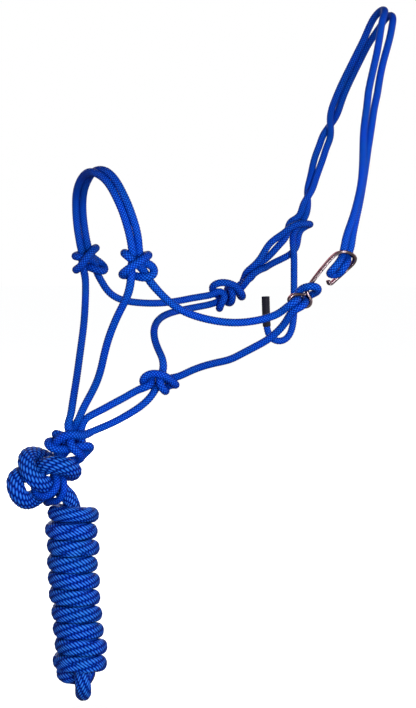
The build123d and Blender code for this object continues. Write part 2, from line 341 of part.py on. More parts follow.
            (-19.46, 36.4, -58.21), (-15.71, 32.5, -47.58), (-11.84, 28.29, -37.11), (-7.64, 24.31, -26.67),
            (-3.88, 20.59, -17.27), (-1.37, 16.96, -9.88), (0.48, 13.5, -4.16), (1.41, 11.59, -1.59),
            (2.08, 10.03, 0.06), (2.62, 8.5, 1.27), (3.08, 6.81, 2.2), (3.44, 4.95, 2.79), (3.65, 2.99, 3),
            (3.69, 1.01, 2.81), (3.55, -0.89, 2.25), (3.25, -2.65, 1.39), (2.81, -4.28, 0.25), (2.17, -5.92, -1.27),
            (1.25, -7.63, -3.33), (-0.1, -9.55, -6.32), (-2.34, -12.15, -11.59), (-6.53, -16.17, -21.62),
            (-11.31, -19.82, -31.92), (-15.98, -23.33, -42.33), (-20.13, -26.84, -52.94), (-23.8, -30.39, -63.73),
            (-27.21, -33.98, -74.59), (-30.57, -37.58, -85.45), (-33.98, -41.18, -96.31), (-37.46, -44.7, -107.16),
            (-41.05, -48.09, -118.03), (-44.66, -51.27, -128.95), (-48.11, -54.16, -139.99),
            (-51.37, -56.81, -151.16), (-54.77, -59.6, -162.25), (-58.55, -62.74, -173.13),
            (-62.72, -66.29, -183.73), (-66.16, -69.47, -192.1), (-67.45, -70.78, -196.01),
            (-68.27, -71.46, -199.17)]),
    ],
    "crown_cord_outer": [
        ((0.2211, 0.0572, 0.9736), (-0.2048, 0.3323, -0.9207), [
            (-74.68, -72.14, -199.08), (-72.99, -71.7, -192.9), (-70.4, -71.17, -186.31), (-67.59, -70.09, -180),
            (-63.35, -67.57, -170.88), (-58.88, -64.55, -160.3), (-55.5, -62.04, -149.99), (-52.99, -59.32, -138.83),
            (-51.18, -55.84, -127.6), (-49.46, -51.83, -116.53), (-47.24, -47.62, -105.63), (-44.26, -43.52, -94.87),
            (-40.84, -39.77, -84.11), (-37.2, -36.24, -73.34), (-33.31, -32.71, -62.67), (-29.12, -28.99, -52.17),
            (-24.75, -25.13, -41.8), (-20.61, -21.41, -31.28), (-17.04, -18.09, -20.43), (-13.93, -15.06, -10.33),
            (-12.18, -13.32, -5.53), (-10.71, -11.82, -2.37), (-9.16, -10.13, 0.23), (-7.51, -8.1, 2.47),
            (-6.02, -5.89, 4.26), (-4.95, -3.8, 5.55), (-4.26, -1.85, 6.48), (-3.84, 0, 7.12), (-3.64, 1.93, 7.52),
            (-3.67, 3.91, 7.62), (-3.92, 5.85, 7.35), (-4.36, 7.67, 6.71), (-4.98, 9.28, 5.73), (-5.71, 10.63, 4.48),
            (-6.54, 11.74, 3.02), (-7.6, 12.8, 1.13), (-9.35, 14.11, -1.99), (-13.43, 17.07, -9.75),
            (-17.24, 20.8, -18.93), (-20.97, 25.02, -29.41), (-24.63, 29.37, -39.86), (-28.3, 33.87, -50.25),
            (-31.49, 38.06, -60.61), (-33.44, 41.12, -69.54), (-34.31, 43.57, -77.45), (-34.33, 45.37, -83.98),
            (-33.78, 46.65, -89.19), (-32.83, 47.99, -93.6), (-31.67, 50, -98.24), (-30.96, 52.06, -102.56),
            (-30.79, 53.78, -106.84), (-31.16, 55.47, -111.97), (-32.63, 58.05, -120.44), (-35.47, 61.33, -131.52),
            (-38.76, 64.54, -141.95), (-40.51, 65.93, -146.55), (-42.2, 66.67, -150.1), (-44.34, 67.06, -153.69),
            (-46.55, 67.4, -156.97), (-48.24, 68.03, -159.72), (-49.57, 68.96, -162.55), (-50.48, 70.05, -165.58)]),
    ],
    "crown_bight": [
        ((-0.2295, 0.0169, -0.9732), (0.2413, 0.047, 0.9693), [
            (-69.06, -71.67, -202.67), (-70.7, -71.46, -208.11), (-71.76, -72.02, -210.63),
            (-72.77, -73.67, -212.68), (-74.42, -76.99, -214.91), (-76.22, -79.35, -216.9),
            (-77.89, -80.31, -219.07), (-79.39, -79.96, -221.45), (-80.6, -78.35, -223.52),
            (-81.94, -75.88, -224.94), (-83.52, -74.13, -225.5), (-85.55, -73.24, -225.64), (-87.73, -73.4, -225.38),
            (-89.51, -74.55, -224.69), (-90.49, -76.31, -223.51), (-90.49, -78.23, -221.75),
            (-89.45, -79.68, -219.44), (-87.48, -80.12, -216.92), (-84.77, -79.29, -214.62),
            (-81.02, -76.62, -212.23), (-78.53, -74.13, -209.89), (-77.04, -72.87, -207.25),
            (-75.49, -72.32, -202.59)]),
    ],
    # Near cheek, between the throat and cheek cords, at the hook's lower eye
    "near_loop": [
        ((0.2333, -0.6297, 0.741), (-0.3664, 0.7516, -0.5485), [
            (-127.86, -71.64, -263.77), (-126.34, -76.91, -257.83), (-125.26, -79.57, -255.37),
            (-123.78, -81.56, -253.74), (-122, -82.88, -252.54), (-120.15, -83.5, -251.54),
            (-118.29, -83.44, -250.48), (-116.57, -82.68, -249.43), (-115.1, -81.28, -248.5),
            (-114.02, -79.32, -247.75), (-113.24, -76.67, -247.24), (-112.35, -72.4, -246.94),
            (-111.53, -69.78, -246.72), (-110.56, -68.05, -246.39), (-109.22, -66.74, -245.83),
            (-107.57, -66.11, -245.01), (-105.88, -66.26, -244.03), (-104.43, -67.12, -243.04),
            (-103.22, -68.54, -242.09), (-102.04, -70.9, -240.98), (-101.3, -73.8, -239.74),
            (-101.26, -75.89, -238.67), (-101.73, -77.53, -237.62), (-102.73, -78.83, -236.57),
            (-104.25, -79.65, -235.65), (-106.09, -79.84, -235.04), (-107.98, -79.37, -234.81),
            (-109.64, -78.34, -234.91), (-111.04, -76.82, -235.25), (-112.28, -74.58, -235.87),
            (-113.24, -72.26, -236.76), (-114, -70.74, -237.75), (-114.87, -69.7, -239.16),
            (-115.81, -69.34, -240.84), (-116.78, -69.64, -242.53), (-117.72, -70.6, -244.09),
            (-118.5, -72.14, -245.32), (-119.05, -74.05, -246.04), (-119.47, -76.14, -246.19),
            (-120.05, -78.2, -246.08), (-121.15, -80.03, -245.95), (-122.67, -81.65, -246.06),
            (-124.27, -82.78, -246.56), (-125.93, -83.37, -247.4), (-127.56, -83.22, -248.47),
            (-128.92, -82.37, -249.59), (-130.05, -80.98, -250.79), (-131.52, -78.13, -252.88)]),
    ],
    # From the sleeved free end, down, round and up to the crown tie
    "tail_cord": [
        ((0.0231, 0.0043, -0.9997), (-0.037, -0.0122, 0.9992), [
            (-89.53, 66, -250.69), (-89.19, 65.99, -261.99), (-88.57, 65.97, -273.28), (-87.19, 66.35, -281.71),
            (-84.82, 66.74, -286.53), (-81.27, 67.08, -289.86), (-76.79, 67.38, -291.6), (-72.13, 67.66, -291.55),
            (-67.88, 67.94, -289.77), (-64.48, 68.23, -286.42), (-61.82, 68.56, -280.97), (-59.75, 68.98, -270.8),
            (-59.19, 69.34, -259.52), (-59.17, 69.63, -248.22), (-59.09, 69.94, -236.92), (-58.95, 70.35, -225.62),
            (-59.06, 70.41, -214.32)]),
    ],
}

LEAD_RUNS = {
    # From the knot in the fiador loops down to the top of the hank
    "lead_knot": [
        ((-0.8861, -0.1429, 0.441), (0.8105, -0.0044, -0.5857), [
            (-305.84, 17, -410.85), (-309.49, 16, -409.78), (-314.09, 13.9, -410.04), (-321.62, 9.16, -412.76),
            (-327.93, 4.63, -414.57), (-332.54, 1.02, -413.96), (-336.26, -1.6, -411.7), (-339.07, -2.87, -408.43),
            (-340.93, -2.73, -404.66), (-341.69, -1.24, -400.87), (-341.15, 1.31, -397.59), (-339.19, 4.44, -395.16),
            (-335.67, 7.34, -393.65), (-331.28, 8.82, -392.83), (-326.71, 8.46, -391.96), (-322.8, 6.48, -390.61),
            (-319.75, 3.03, -388.39), (-316.47, -3.27, -385.14), (-313.42, -7.31, -383.82), (-309.63, -9.9, -383.56),
            (-305.23, -10.97, -384.19), (-300.7, -10.34, -385.61), (-296.5, -7.88, -387.71),
            (-293.42, -3.7, -390.17), (-292.25, 1.31, -392.24), (-292.94, 6.84, -393.45), (-295.18, 12, -393.23),
            (-298.69, 16.35, -391.44), (-303.55, 19.57, -388.22), (-308.74, 20.5, -384.77), (-314.43, 19.12, -381.5),
            (-321.17, 14.99, -378.63), (-326.43, 10.06, -377.67), (-329.56, 5.82, -378.49), (-331.47, 1.46, -380.93),
            (-331.9, -2.68, -384.78), (-330.56, -5.78, -389.21), (-327.81, -7.4, -393.36), (-324.08, -7.41, -396.81),
            (-319.59, -5.68, -399.51), (-312.31, -0.56, -402.74), (-306.12, 2.8, -405.25), (-301.3, 3.67, -408.04)]),
    ],
    "lead_neck": [
        ((0.6999, -0.1896, -0.6886), (0.2994, -0.4563, -0.838), [
            (-298.72, 3.34, -410.22), (-297.02, 2.67, -412.12), (-295.61, 1.69, -414.26), (-294.5, 0.41, -416.7)]),
    ],
    # Down through the wraps, round the loop at the bottom and back up
    "hank_core_front": [
        ((0.142, -0.468, -0.8723), (-0.0371, -0.4537, -0.8904), [
            (-293.72, -1.28, -419.78), (-293.44, -2.89, -422.94), (-293.55, -4.44, -426.59),
            (-293.98, -5.69, -430.7), (-294.53, -6.5, -435.32), (-294.94, -6.92, -440.95), (-294.85, -6.96, -447.53),
            (-294.58, -6.45, -458.4), (-294.68, -6.31, -467.49), (-294.37, -6.65, -474.83),
            (-293.72, -6.81, -486.21), (-293.48, -6.81, -495.87), (-293.08, -7.01, -500.67),
            (-292.02, -7.53, -508.29), (-291.2, -7.83, -518.06), (-290.61, -8.03, -526.4), (-289.59, -8.54, -533.57),
            (-289, -8.9, -538.89), (-288.81, -9.19, -545), (-288.86, -9.76, -549.48), (-289, -10.69, -553.2),
            (-289.21, -12.04, -556.62), (-289.44, -14.23, -560.87)]),
    ],
    "hank_core_rear": [
        ((-0.0834, -0.0701, 0.9941), (-0.3799, 0.3583, 0.8528), [
            (-283.34, 10.48, -567.58), (-283.56, 10.14, -565.35), (-283.83, 9.45, -563.16), (-284.24, 8.25, -560.49),
            (-284.88, 6.55, -556.67), (-285.41, 5.43, -553.02), (-285.8, 4.81, -549.3), (-286.17, 4.59, -544.57),
            (-286.89, 4.95, -536.68), (-287.69, 5.55, -526.08), (-288.63, 5.83, -514.58), (-289.5, 6.23, -505.9),
            (-290.16, 6.66, -495.69), (-291.14, 6.8, -484), (-291.62, 6.91, -477.13), (-291.42, 7.06, -471.49),
            (-291.28, 7.17, -463.42), (-291.83, 6.88, -453.31), (-291.92, 6.62, -448.34), (-291.59, 6.55, -444.74),
            (-291.02, 6.78, -441.31), (-290.7, 7.19, -438.82), (-290.66, 7.67, -436.82), (-290.89, 8.25, -434.95),
            (-291.46, 8.93, -433.2)]),
    ],
    "hank_end_loop": [
        ((-0.0365, -0.4521, -0.8912), (-0.0823, -0.0632, 0.9946), [
            (-289.45, -14.27, -560.95), (-289.48, -16.51, -567.75), (-288.96, -15.63, -574.15),
            (-287.9, -11.93, -579.42), (-286.39, -6.18, -582.41), (-284.81, 0.21, -582.42), (-283.61, 5.74, -579.51),
            (-283.1, 9.42, -574.29), (-283.33, 10.49, -567.68)]),
    ],
    # Turns wound down round the two cores, and the end they finish in
    "hank_wraps": [
        ((-0.3891, 0.3586, 0.8485), (-0.4995, -0.8631, -0.0745), [
            (-291.5, 8.96, -433.11), (-293.03, 9.96, -430.84), (-295.22, 10.64, -429.07), (-297.84, 10.75, -427.84),
            (-300.59, 10.13, -427.11), (-303.15, 8.72, -426.78), (-305.31, 6.56, -426.69), (-306.94, 3.62, -426.66),
            (-307.86, -0.11, -426.46), (-307.84, -4.6, -426), (-306.64, -9.33, -425.41), (-304.57, -13.12, -425.01),
            (-301.89, -15.96, -424.82), (-298.71, -17.87, -424.83), (-295.19, -18.8, -425),
            (-291.55, -18.7, -425.33), (-287.98, -17.55, -425.77), (-284.61, -15.32, -426.36),
            (-281.46, -11.84, -427.14), (-278.45, -6.45, -428.37), (-276.09, 0.92, -430.28),
            (-275.51, 6.66, -431.86), (-276.15, 11.21, -433.13), (-277.79, 15.03, -434.25),
            (-280.33, 18.14, -435.29), (-283.61, 20.38, -436.32), (-287.4, 21.6, -437.42), (-291.33, 21.69, -438.58),
            (-295.13, 20.67, -439.71), (-299.25, 18.34, -440.79), (-303.36, 14.6, -441.52), (-306.7, 9.87, -441.59),
            (-308.99, 4.32, -441.06), (-309.97, -1.75, -440.24), (-309.52, -7.32, -439.5),
            (-307.97, -11.98, -438.97), (-305.63, -15.61, -438.66), (-302.72, -18.27, -438.56),
            (-299.23, -20.01, -438.62), (-295.39, -20.71, -438.84), (-291.51, -20.32, -439.19),
            (-287.93, -18.87, -439.66), (-285, -16.56, -440.2), (-282.63, -13.35, -440.87),
            (-280.28, -8.05, -442.05), (-278.11, 0.69, -444.4), (-277.75, 6.34, -446.05), (-278.47, 10.42, -447.31),
            (-280.3, 14.24, -448.65), (-283.14, 17.52, -450.08), (-286.49, 19.72, -451.44),
            (-290.06, 20.82, -452.67), (-293.71, 20.85, -453.75), (-297.24, 19.83, -454.63),
            (-300.44, 17.81, -455.26), (-303.17, 14.84, -455.59), (-305.39, 10.81, -455.57),
            (-307.48, 4.23, -454.96), (-308.64, -3.76, -453.87), (-308.33, -8.88, -453.23),
            (-307.18, -12.65, -452.86), (-305.13, -15.87, -452.63), (-302.25, -18.39, -452.55),
            (-298.79, -20.01, -452.62), (-295.01, -20.6, -452.85), (-291.1, -20.11, -453.24),
            (-287.41, -18.55, -453.78), (-284.07, -15.9, -454.46), (-280.85, -11.76, -455.42),
            (-277.88, -5.51, -457.01), (-276.17, 1.52, -458.97), (-276.09, 7.07, -460.56), (-277.16, 11.61, -461.92),
            (-279.19, 15.32, -463.22), (-282.04, 18.2, -464.52), (-285.59, 20.14, -465.82),
            (-289.62, 21.02, -467.03), (-293.83, 20.75, -468.08), (-297.57, 19.49, -468.82),
            (-300.62, 17.42, -469.29), (-303.21, 14.42, -469.53), (-305.69, 9.82, -469.46), (-307.95, 2.51, -468.74),
            (-308.74, -4.23, -467.83), (-308.25, -9.05, -467.2), (-306.92, -12.76, -466.79),
            (-304.7, -15.87, -466.53), (-301.67, -18.27, -466.45), (-298.11, -19.72, -466.56),
            (-294.26, -20.14, -466.86), (-290.36, -19.49, -467.33), (-286.88, -17.83, -467.91),
            (-284.04, -15.3, -468.61), (-281.79, -11.83, -469.48), (-279.54, -5.86, -471.07),
            (-277.79, 3.04, -473.69), (-277.77, 8.21, -475.4), (-278.73, 12.1, -476.81), (-280.68, 15.49, -478.19),
            (-283.51, 18.19, -479.5), (-286.96, 19.98, -480.66), (-290.64, 20.7, -481.63), (-294.42, 20.35, -482.44),
            (-298, 18.94, -483.04), (-301.01, 16.65, -483.4), (-303.45, 13.49, -483.52), (-305.7, 8.65, -483.34),
            (-307.61, 0.89, -482.54), (-308.04, -5.97, -481.6), (-307.38, -10.41, -481.02),
            (-305.88, -13.95, -480.64), (-303.46, -16.94, -480.42), (-300.28, -19.17, -480.4),
            (-296.61, -20.44, -480.59), (-292.74, -20.64, -480.96), (-289, -19.76, -481.47),
            (-285.39, -17.77, -482.15), (-282.21, -14.71, -483.02), (-279.46, -10.3, -484.24),
            (-277.12, -3.66, -486.12), (-276.15, 3.51, -488.37), (-276.65, 8.95, -490.18), (-278.12, 13.13, -491.63),
            (-280.26, 16.24, -492.83), (-283.2, 18.6, -493.96), (-286.8, 20.09, -495), (-290.6, 20.53, -495.86),
            (-294.36, 19.88, -496.54), (-297.79, 18.21, -497.04), (-300.69, 15.62, -497.32),
            (-303.3, 11.81, -497.39), (-305.75, 5.84, -497.06), (-307.4, -2.04, -496.13), (-307.45, -7.57, -495.36),
            (-306.56, -11.51, -494.85), (-304.73, -14.94, -494.5), (-302.01, -17.74, -494.35),
            (-298.62, -19.68, -494.43), (-294.84, -20.62, -494.73), (-290.99, -20.47, -495.21),
            (-287.36, -19.27, -495.81), (-283.95, -16.97, -496.57), (-281.23, -13.8, -497.53),
            (-278.77, -8.95, -498.98), (-276.28, -0.36, -501.72), (-275.63, 5.75, -503.7), (-276.17, 9.95, -505.05),
            (-277.71, 13.6, -506.32), (-280.05, 16.49, -507.52), (-283.15, 18.56, -508.71), (-286.82, 19.7, -509.89),
            (-290.71, 19.74, -511), (-294.38, 18.7, -511.93), (-297.62, 16.68, -512.64), (-300.22, 13.81, -513.07),
            (-302.26, 9.99, -513.16), (-304.36, 3.43, -512.61), (-305.73, -4.63, -511.22), (-305.58, -9.55, -510.28),
            (-304.57, -13.21, -509.62), (-302.68, -16.34, -509.12), (-299.81, -19.05, -508.81),
            (-296.35, -20.9, -508.77), (-292.62, -21.72, -508.98), (-288.88, -21.47, -509.39),
            (-285.38, -20.2, -509.97), (-282.26, -17.93, -510.73), (-279.52, -14.56, -511.77),
            (-277.14, -9.57, -513.33), (-274.83, -0.7, -516.16), (-274.33, 5.58, -518.1), (-274.95, 9.73, -519.49),
            (-276.62, 13.42, -520.93), (-278.99, 16.22, -522.29), (-282.05, 18.2, -523.63), (-285.78, 19.3, -524.95),
            (-289.51, 19.34, -526.07), (-293.11, 18.31, -526.98), (-296.32, 16.34, -527.61),
            (-298.88, 13.57, -527.89), (-301.11, 9.66, -527.78), (-303.32, 3.24, -526.92), (-304.72, -4.7, -525.31),
            (-304.57, -9.76, -524.31), (-303.55, -13.51, -523.65), (-301.63, -16.72, -523.16),
            (-298.86, -19.29, -522.88), (-295.49, -21, -522.84), (-291.73, -21.75, -523.06),
            (-287.77, -21.48, -523.57), (-284.18, -20.2, -524.25), (-280.94, -17.9, -525.14),
            (-278.23, -14.6, -526.28), (-275.89, -9.69, -527.88), (-273.66, -1.04, -530.56), (-273.22, 5.2, -532.51),
            (-273.82, 9.18, -533.85), (-275.39, 12.62, -535.19), (-277.95, 15.57, -536.59),
            (-281.07, 17.55, -537.87), (-284.65, 18.55, -539.06), (-288.51, 18.49, -540.15),
            (-292.2, 17.38, -541.01), (-295.4, 15.33, -541.57), (-297.96, 12.48, -541.81), (-300.13, 8.48, -541.68),
            (-302.1, 2.21, -540.84), (-303.19, -5.79, -539.19), (-302.87, -10.98, -538.11),
            (-301.76, -14.63, -537.47), (-299.66, -17.96, -536.99), (-296.6, -20.83, -536.75),
            (-293.04, -22.73, -536.83), (-289.23, -23.58, -537.17), (-285.4, -23.34, -537.68),
            (-281.77, -22.04, -538.34), (-278.5, -19.71, -539.2), (-275.67, -16.27, -540.31),
            (-273.32, -11.36, -541.83), (-271.66, -4.15, -544.05), (-271.5, 3.69, -546.54), (-272.67, 9.46, -548.46),
            (-274.67, 13.71, -549.96), (-277.46, 16.98, -551.26), (-280.42, 19.02, -552.27),
            (-283.72, 20.09, -553.18), (-287.23, 20.15, -554), (-290.75, 19.18, -554.74), (-294.47, 17.02, -555.36),
            (-298.23, 13.49, -555.69), (-301.5, 8.65, -555.53), (-303.79, 2.8, -554.82), (-304.7, -3.67, -553.71),
            (-304.09, -9.99, -552.47), (-302.27, -15.28, -551.45), (-299.82, -19.16, -550.83),
            (-296.84, -21.99, -550.61), (-293.4, -23.89, -550.71), (-289.72, -24.78, -551.05),
            (-285.96, -24.59, -551.56), (-282.4, -23.34, -552.22), (-279.33, -21.14, -553.05),
            (-276.85, -18.04, -554.1), (-274.34, -12.83, -555.82), (-271.38, -2.67, -559.11),
            (-269.84, 6.43, -561.69), (-269.96, 11.95, -562.93), (-270.97, 15.87, -563.73),
            (-272.83, 19.09, -564.47), (-275.6, 21.73, -565.24), (-279.05, 23.5, -566.04), (-282.92, 24.24, -566.86),
            (-287, 23.87, -567.67), (-290.96, 22.35, -568.41), (-294.27, 19.9, -568.99), (-296.68, 16.82, -569.37)]),
    ],
    "hank_tail": [
        ((-0.4933, -0.8668, -0.0733), (0.7158, -0.542, -0.4402), [
            (-296.73, 16.73, -569.38), (-298.32, 12.19, -569.59), (-298.13, 7.53, -569.55), (-296.2, 3.26, -569.32),
            (-292.62, -0.24, -569), (-286.98, -2.89, -568.78), (-282.13, -4.34, -569.17), (-279.26, -5.85, -570.26)]),
    ],
}

# Hook wire x, y, z points, from the open tip, round the top curl, down the stem and round the lower eye.
HOOK_LINE = [
    (-88.91, -70, -230.94), (-87.6, -70, -233.3), (-83.93, -70, -231.25), (-78.05, -70, -226.53),
    (-71.41, -71.5, -220.34), (-68.02, -74, -215.96), (-67.54, -76, -212.4), (-70.5, -78, -209.18),
    (-75.16, -79, -207.23), (-79.76, -79, -206.54), (-83.87, -78, -207.37), (-87.04, -77, -209.61),
    (-94.28, -75, -217.65), (-101.51, -73, -226.95), (-106.92, -71, -235.28), (-108.9, -71, -239.83),
    (-107.49, -72.2, -243.97), (-106.78, -73.5, -247.67), (-108.84, -74.5, -250.91), (-113.82, -75.5, -252.02),
    (-120.14, -76.5, -250.86), (-125.5, -77, -248.59), (-127.44, -77.5, -245.49), (-125.12, -77.5, -242.47),
    (-119.43, -76.8, -241.43), (-113.39, -75, -241.51),
]


def centre_line(run):
    start, end, points = run
    return Spline(*points, tangents=(start, end), tangent_scalars=(1, 1))


def rope(run, diameter, span):
    """A round rope along its centre line, with flat ends square to the line.

    Long runs are swept over short spans joined end to end, which keeps the section round in tight bends.
    """
    line = centre_line(run)
    count = max(1, math.ceil(line.length / span))
    path = line
    if count > 1:
        path = Wire([line.trim(i / count, (i + 1) / count) for i in range(count)])
    section = Plane(origin=line @ 0, z_dir=line % 0) * Circle(diameter / 2)
    return sweep(sections=section, path=path, is_frenet=True).solids()[0]


def rope_node(runs, diameter, span):
    """All the runs of one node, kept as separate solids."""
    solids = [rope(run, diameter, span) for run in runs]
    return solids[0] if len(solids) == 1 else Compound(children=solids)


def crown_hook():
    """A flat wire whose width stays close to Y while its line curls as seen along Y."""
    path = Spline(*HOOK_LINE)
    guide = Spline(*[(x, y + GUIDE_OFFSET, z) for x, y, z in HOOK_LINE])
    tangent = path % 0
    across = Vector(0, 1, 0) - tangent * tangent.Y
    plane = Plane(origin=path @ 0, z_dir=tangent, x_dir=across)
    section = plane * RectangleRounded(HOOK_W, HOOK_T, HOOK_CORNER)
    return sweep(sections=section, path=path, binormal=guide).solids()[0]


def tail_sleeve():
    """A thin tube over the free end of the tail cord, which stands just inside its mouth.

    Its centre line is one shallow arc through three points of the cord's line, the first of them
    a lip's length past the cut end, so its walls are true torus faces.
    """
    line = centre_line(CORD_RUNS["tail_cord"][0])
    first = line @ 0 - (line % 0) * SLEEVE_LIP
    middle = line @ (SLEEVE_L * 0.5 / line.length)
    last = line @ (SLEEVE_L / line.length)

    # Centre of the circle through the three points
    to_middle = middle - first
    to_last = last - first
    normal = to_middle.cross(to_last)
    to_centre = (normal.cross(to_middle) * to_last.dot(to_last)
                 - normal.cross(to_last) * to_middle.dot(to_middle)) / (2 * normal.dot(normal))
    centre = first + to_centre

    turn = (first - centre).get_angle(last - centre)
    start = normal.cross(first - centre).normalized()
    ring = Circle(SLEEVE_D / 2) - Circle(SLEEVE_BORE_D / 2)
    section = Plane(origin=first, z_dir=start) * ring
    return revolve(section, axis=Axis(centre, normal), revolution_arc=turn).solids()[0]


def build():
    shapes = {name: rope_node(runs, CORD_D, CORD_SPAN) for name, runs in CORD_RUNS.items()}
    for name, runs in LEAD_RUNS.items():
        shapes[name] = rope_node(runs, LEAD_D, LEAD_SPAN)
    shapes["hook"] = crown_hook()
    shapes["tail_sleeve"] = tail_sleeve()
    return shapes


os.makedirs("parts", exist_ok=True)
for node, shape in build().items():
    shape.label = node
    export_step(shape, f"parts/{node}.step")
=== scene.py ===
"""A rope halter of one braided cord, with a hanked lead rope, a wire hook and a cord sleeve.

The crown lies at the origin and the halter hangs down -Z with the noseband towards -X.
The near side is -Y, the far side +Y, and the lead rope hangs at the low -X end.
Rope, hook and sleeve sizes are in millimetres; the stage, lights and camera are in metres.
"""

import math

import bpy
import numpy as np
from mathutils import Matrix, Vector


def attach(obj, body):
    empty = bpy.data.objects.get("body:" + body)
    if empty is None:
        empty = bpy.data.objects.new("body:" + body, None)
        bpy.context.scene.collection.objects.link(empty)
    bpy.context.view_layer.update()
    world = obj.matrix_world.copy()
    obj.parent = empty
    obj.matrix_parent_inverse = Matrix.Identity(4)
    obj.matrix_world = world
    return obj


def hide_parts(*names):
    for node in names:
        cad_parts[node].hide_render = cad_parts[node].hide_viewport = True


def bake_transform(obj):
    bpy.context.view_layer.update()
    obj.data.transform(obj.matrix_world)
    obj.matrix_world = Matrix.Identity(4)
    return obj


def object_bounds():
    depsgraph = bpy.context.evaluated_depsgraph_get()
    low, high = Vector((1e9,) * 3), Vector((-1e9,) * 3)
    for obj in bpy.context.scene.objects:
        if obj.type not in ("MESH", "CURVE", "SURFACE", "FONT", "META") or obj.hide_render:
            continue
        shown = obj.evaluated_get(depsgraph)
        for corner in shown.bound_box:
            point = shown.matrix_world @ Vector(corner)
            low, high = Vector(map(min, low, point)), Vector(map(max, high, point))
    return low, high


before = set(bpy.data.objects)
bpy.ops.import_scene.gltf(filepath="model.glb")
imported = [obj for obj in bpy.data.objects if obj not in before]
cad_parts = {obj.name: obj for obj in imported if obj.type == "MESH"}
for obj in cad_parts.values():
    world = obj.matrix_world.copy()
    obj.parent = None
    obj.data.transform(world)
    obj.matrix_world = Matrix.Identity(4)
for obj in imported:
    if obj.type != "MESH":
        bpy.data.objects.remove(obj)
cad_low, cad_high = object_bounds()
MM = 0.001

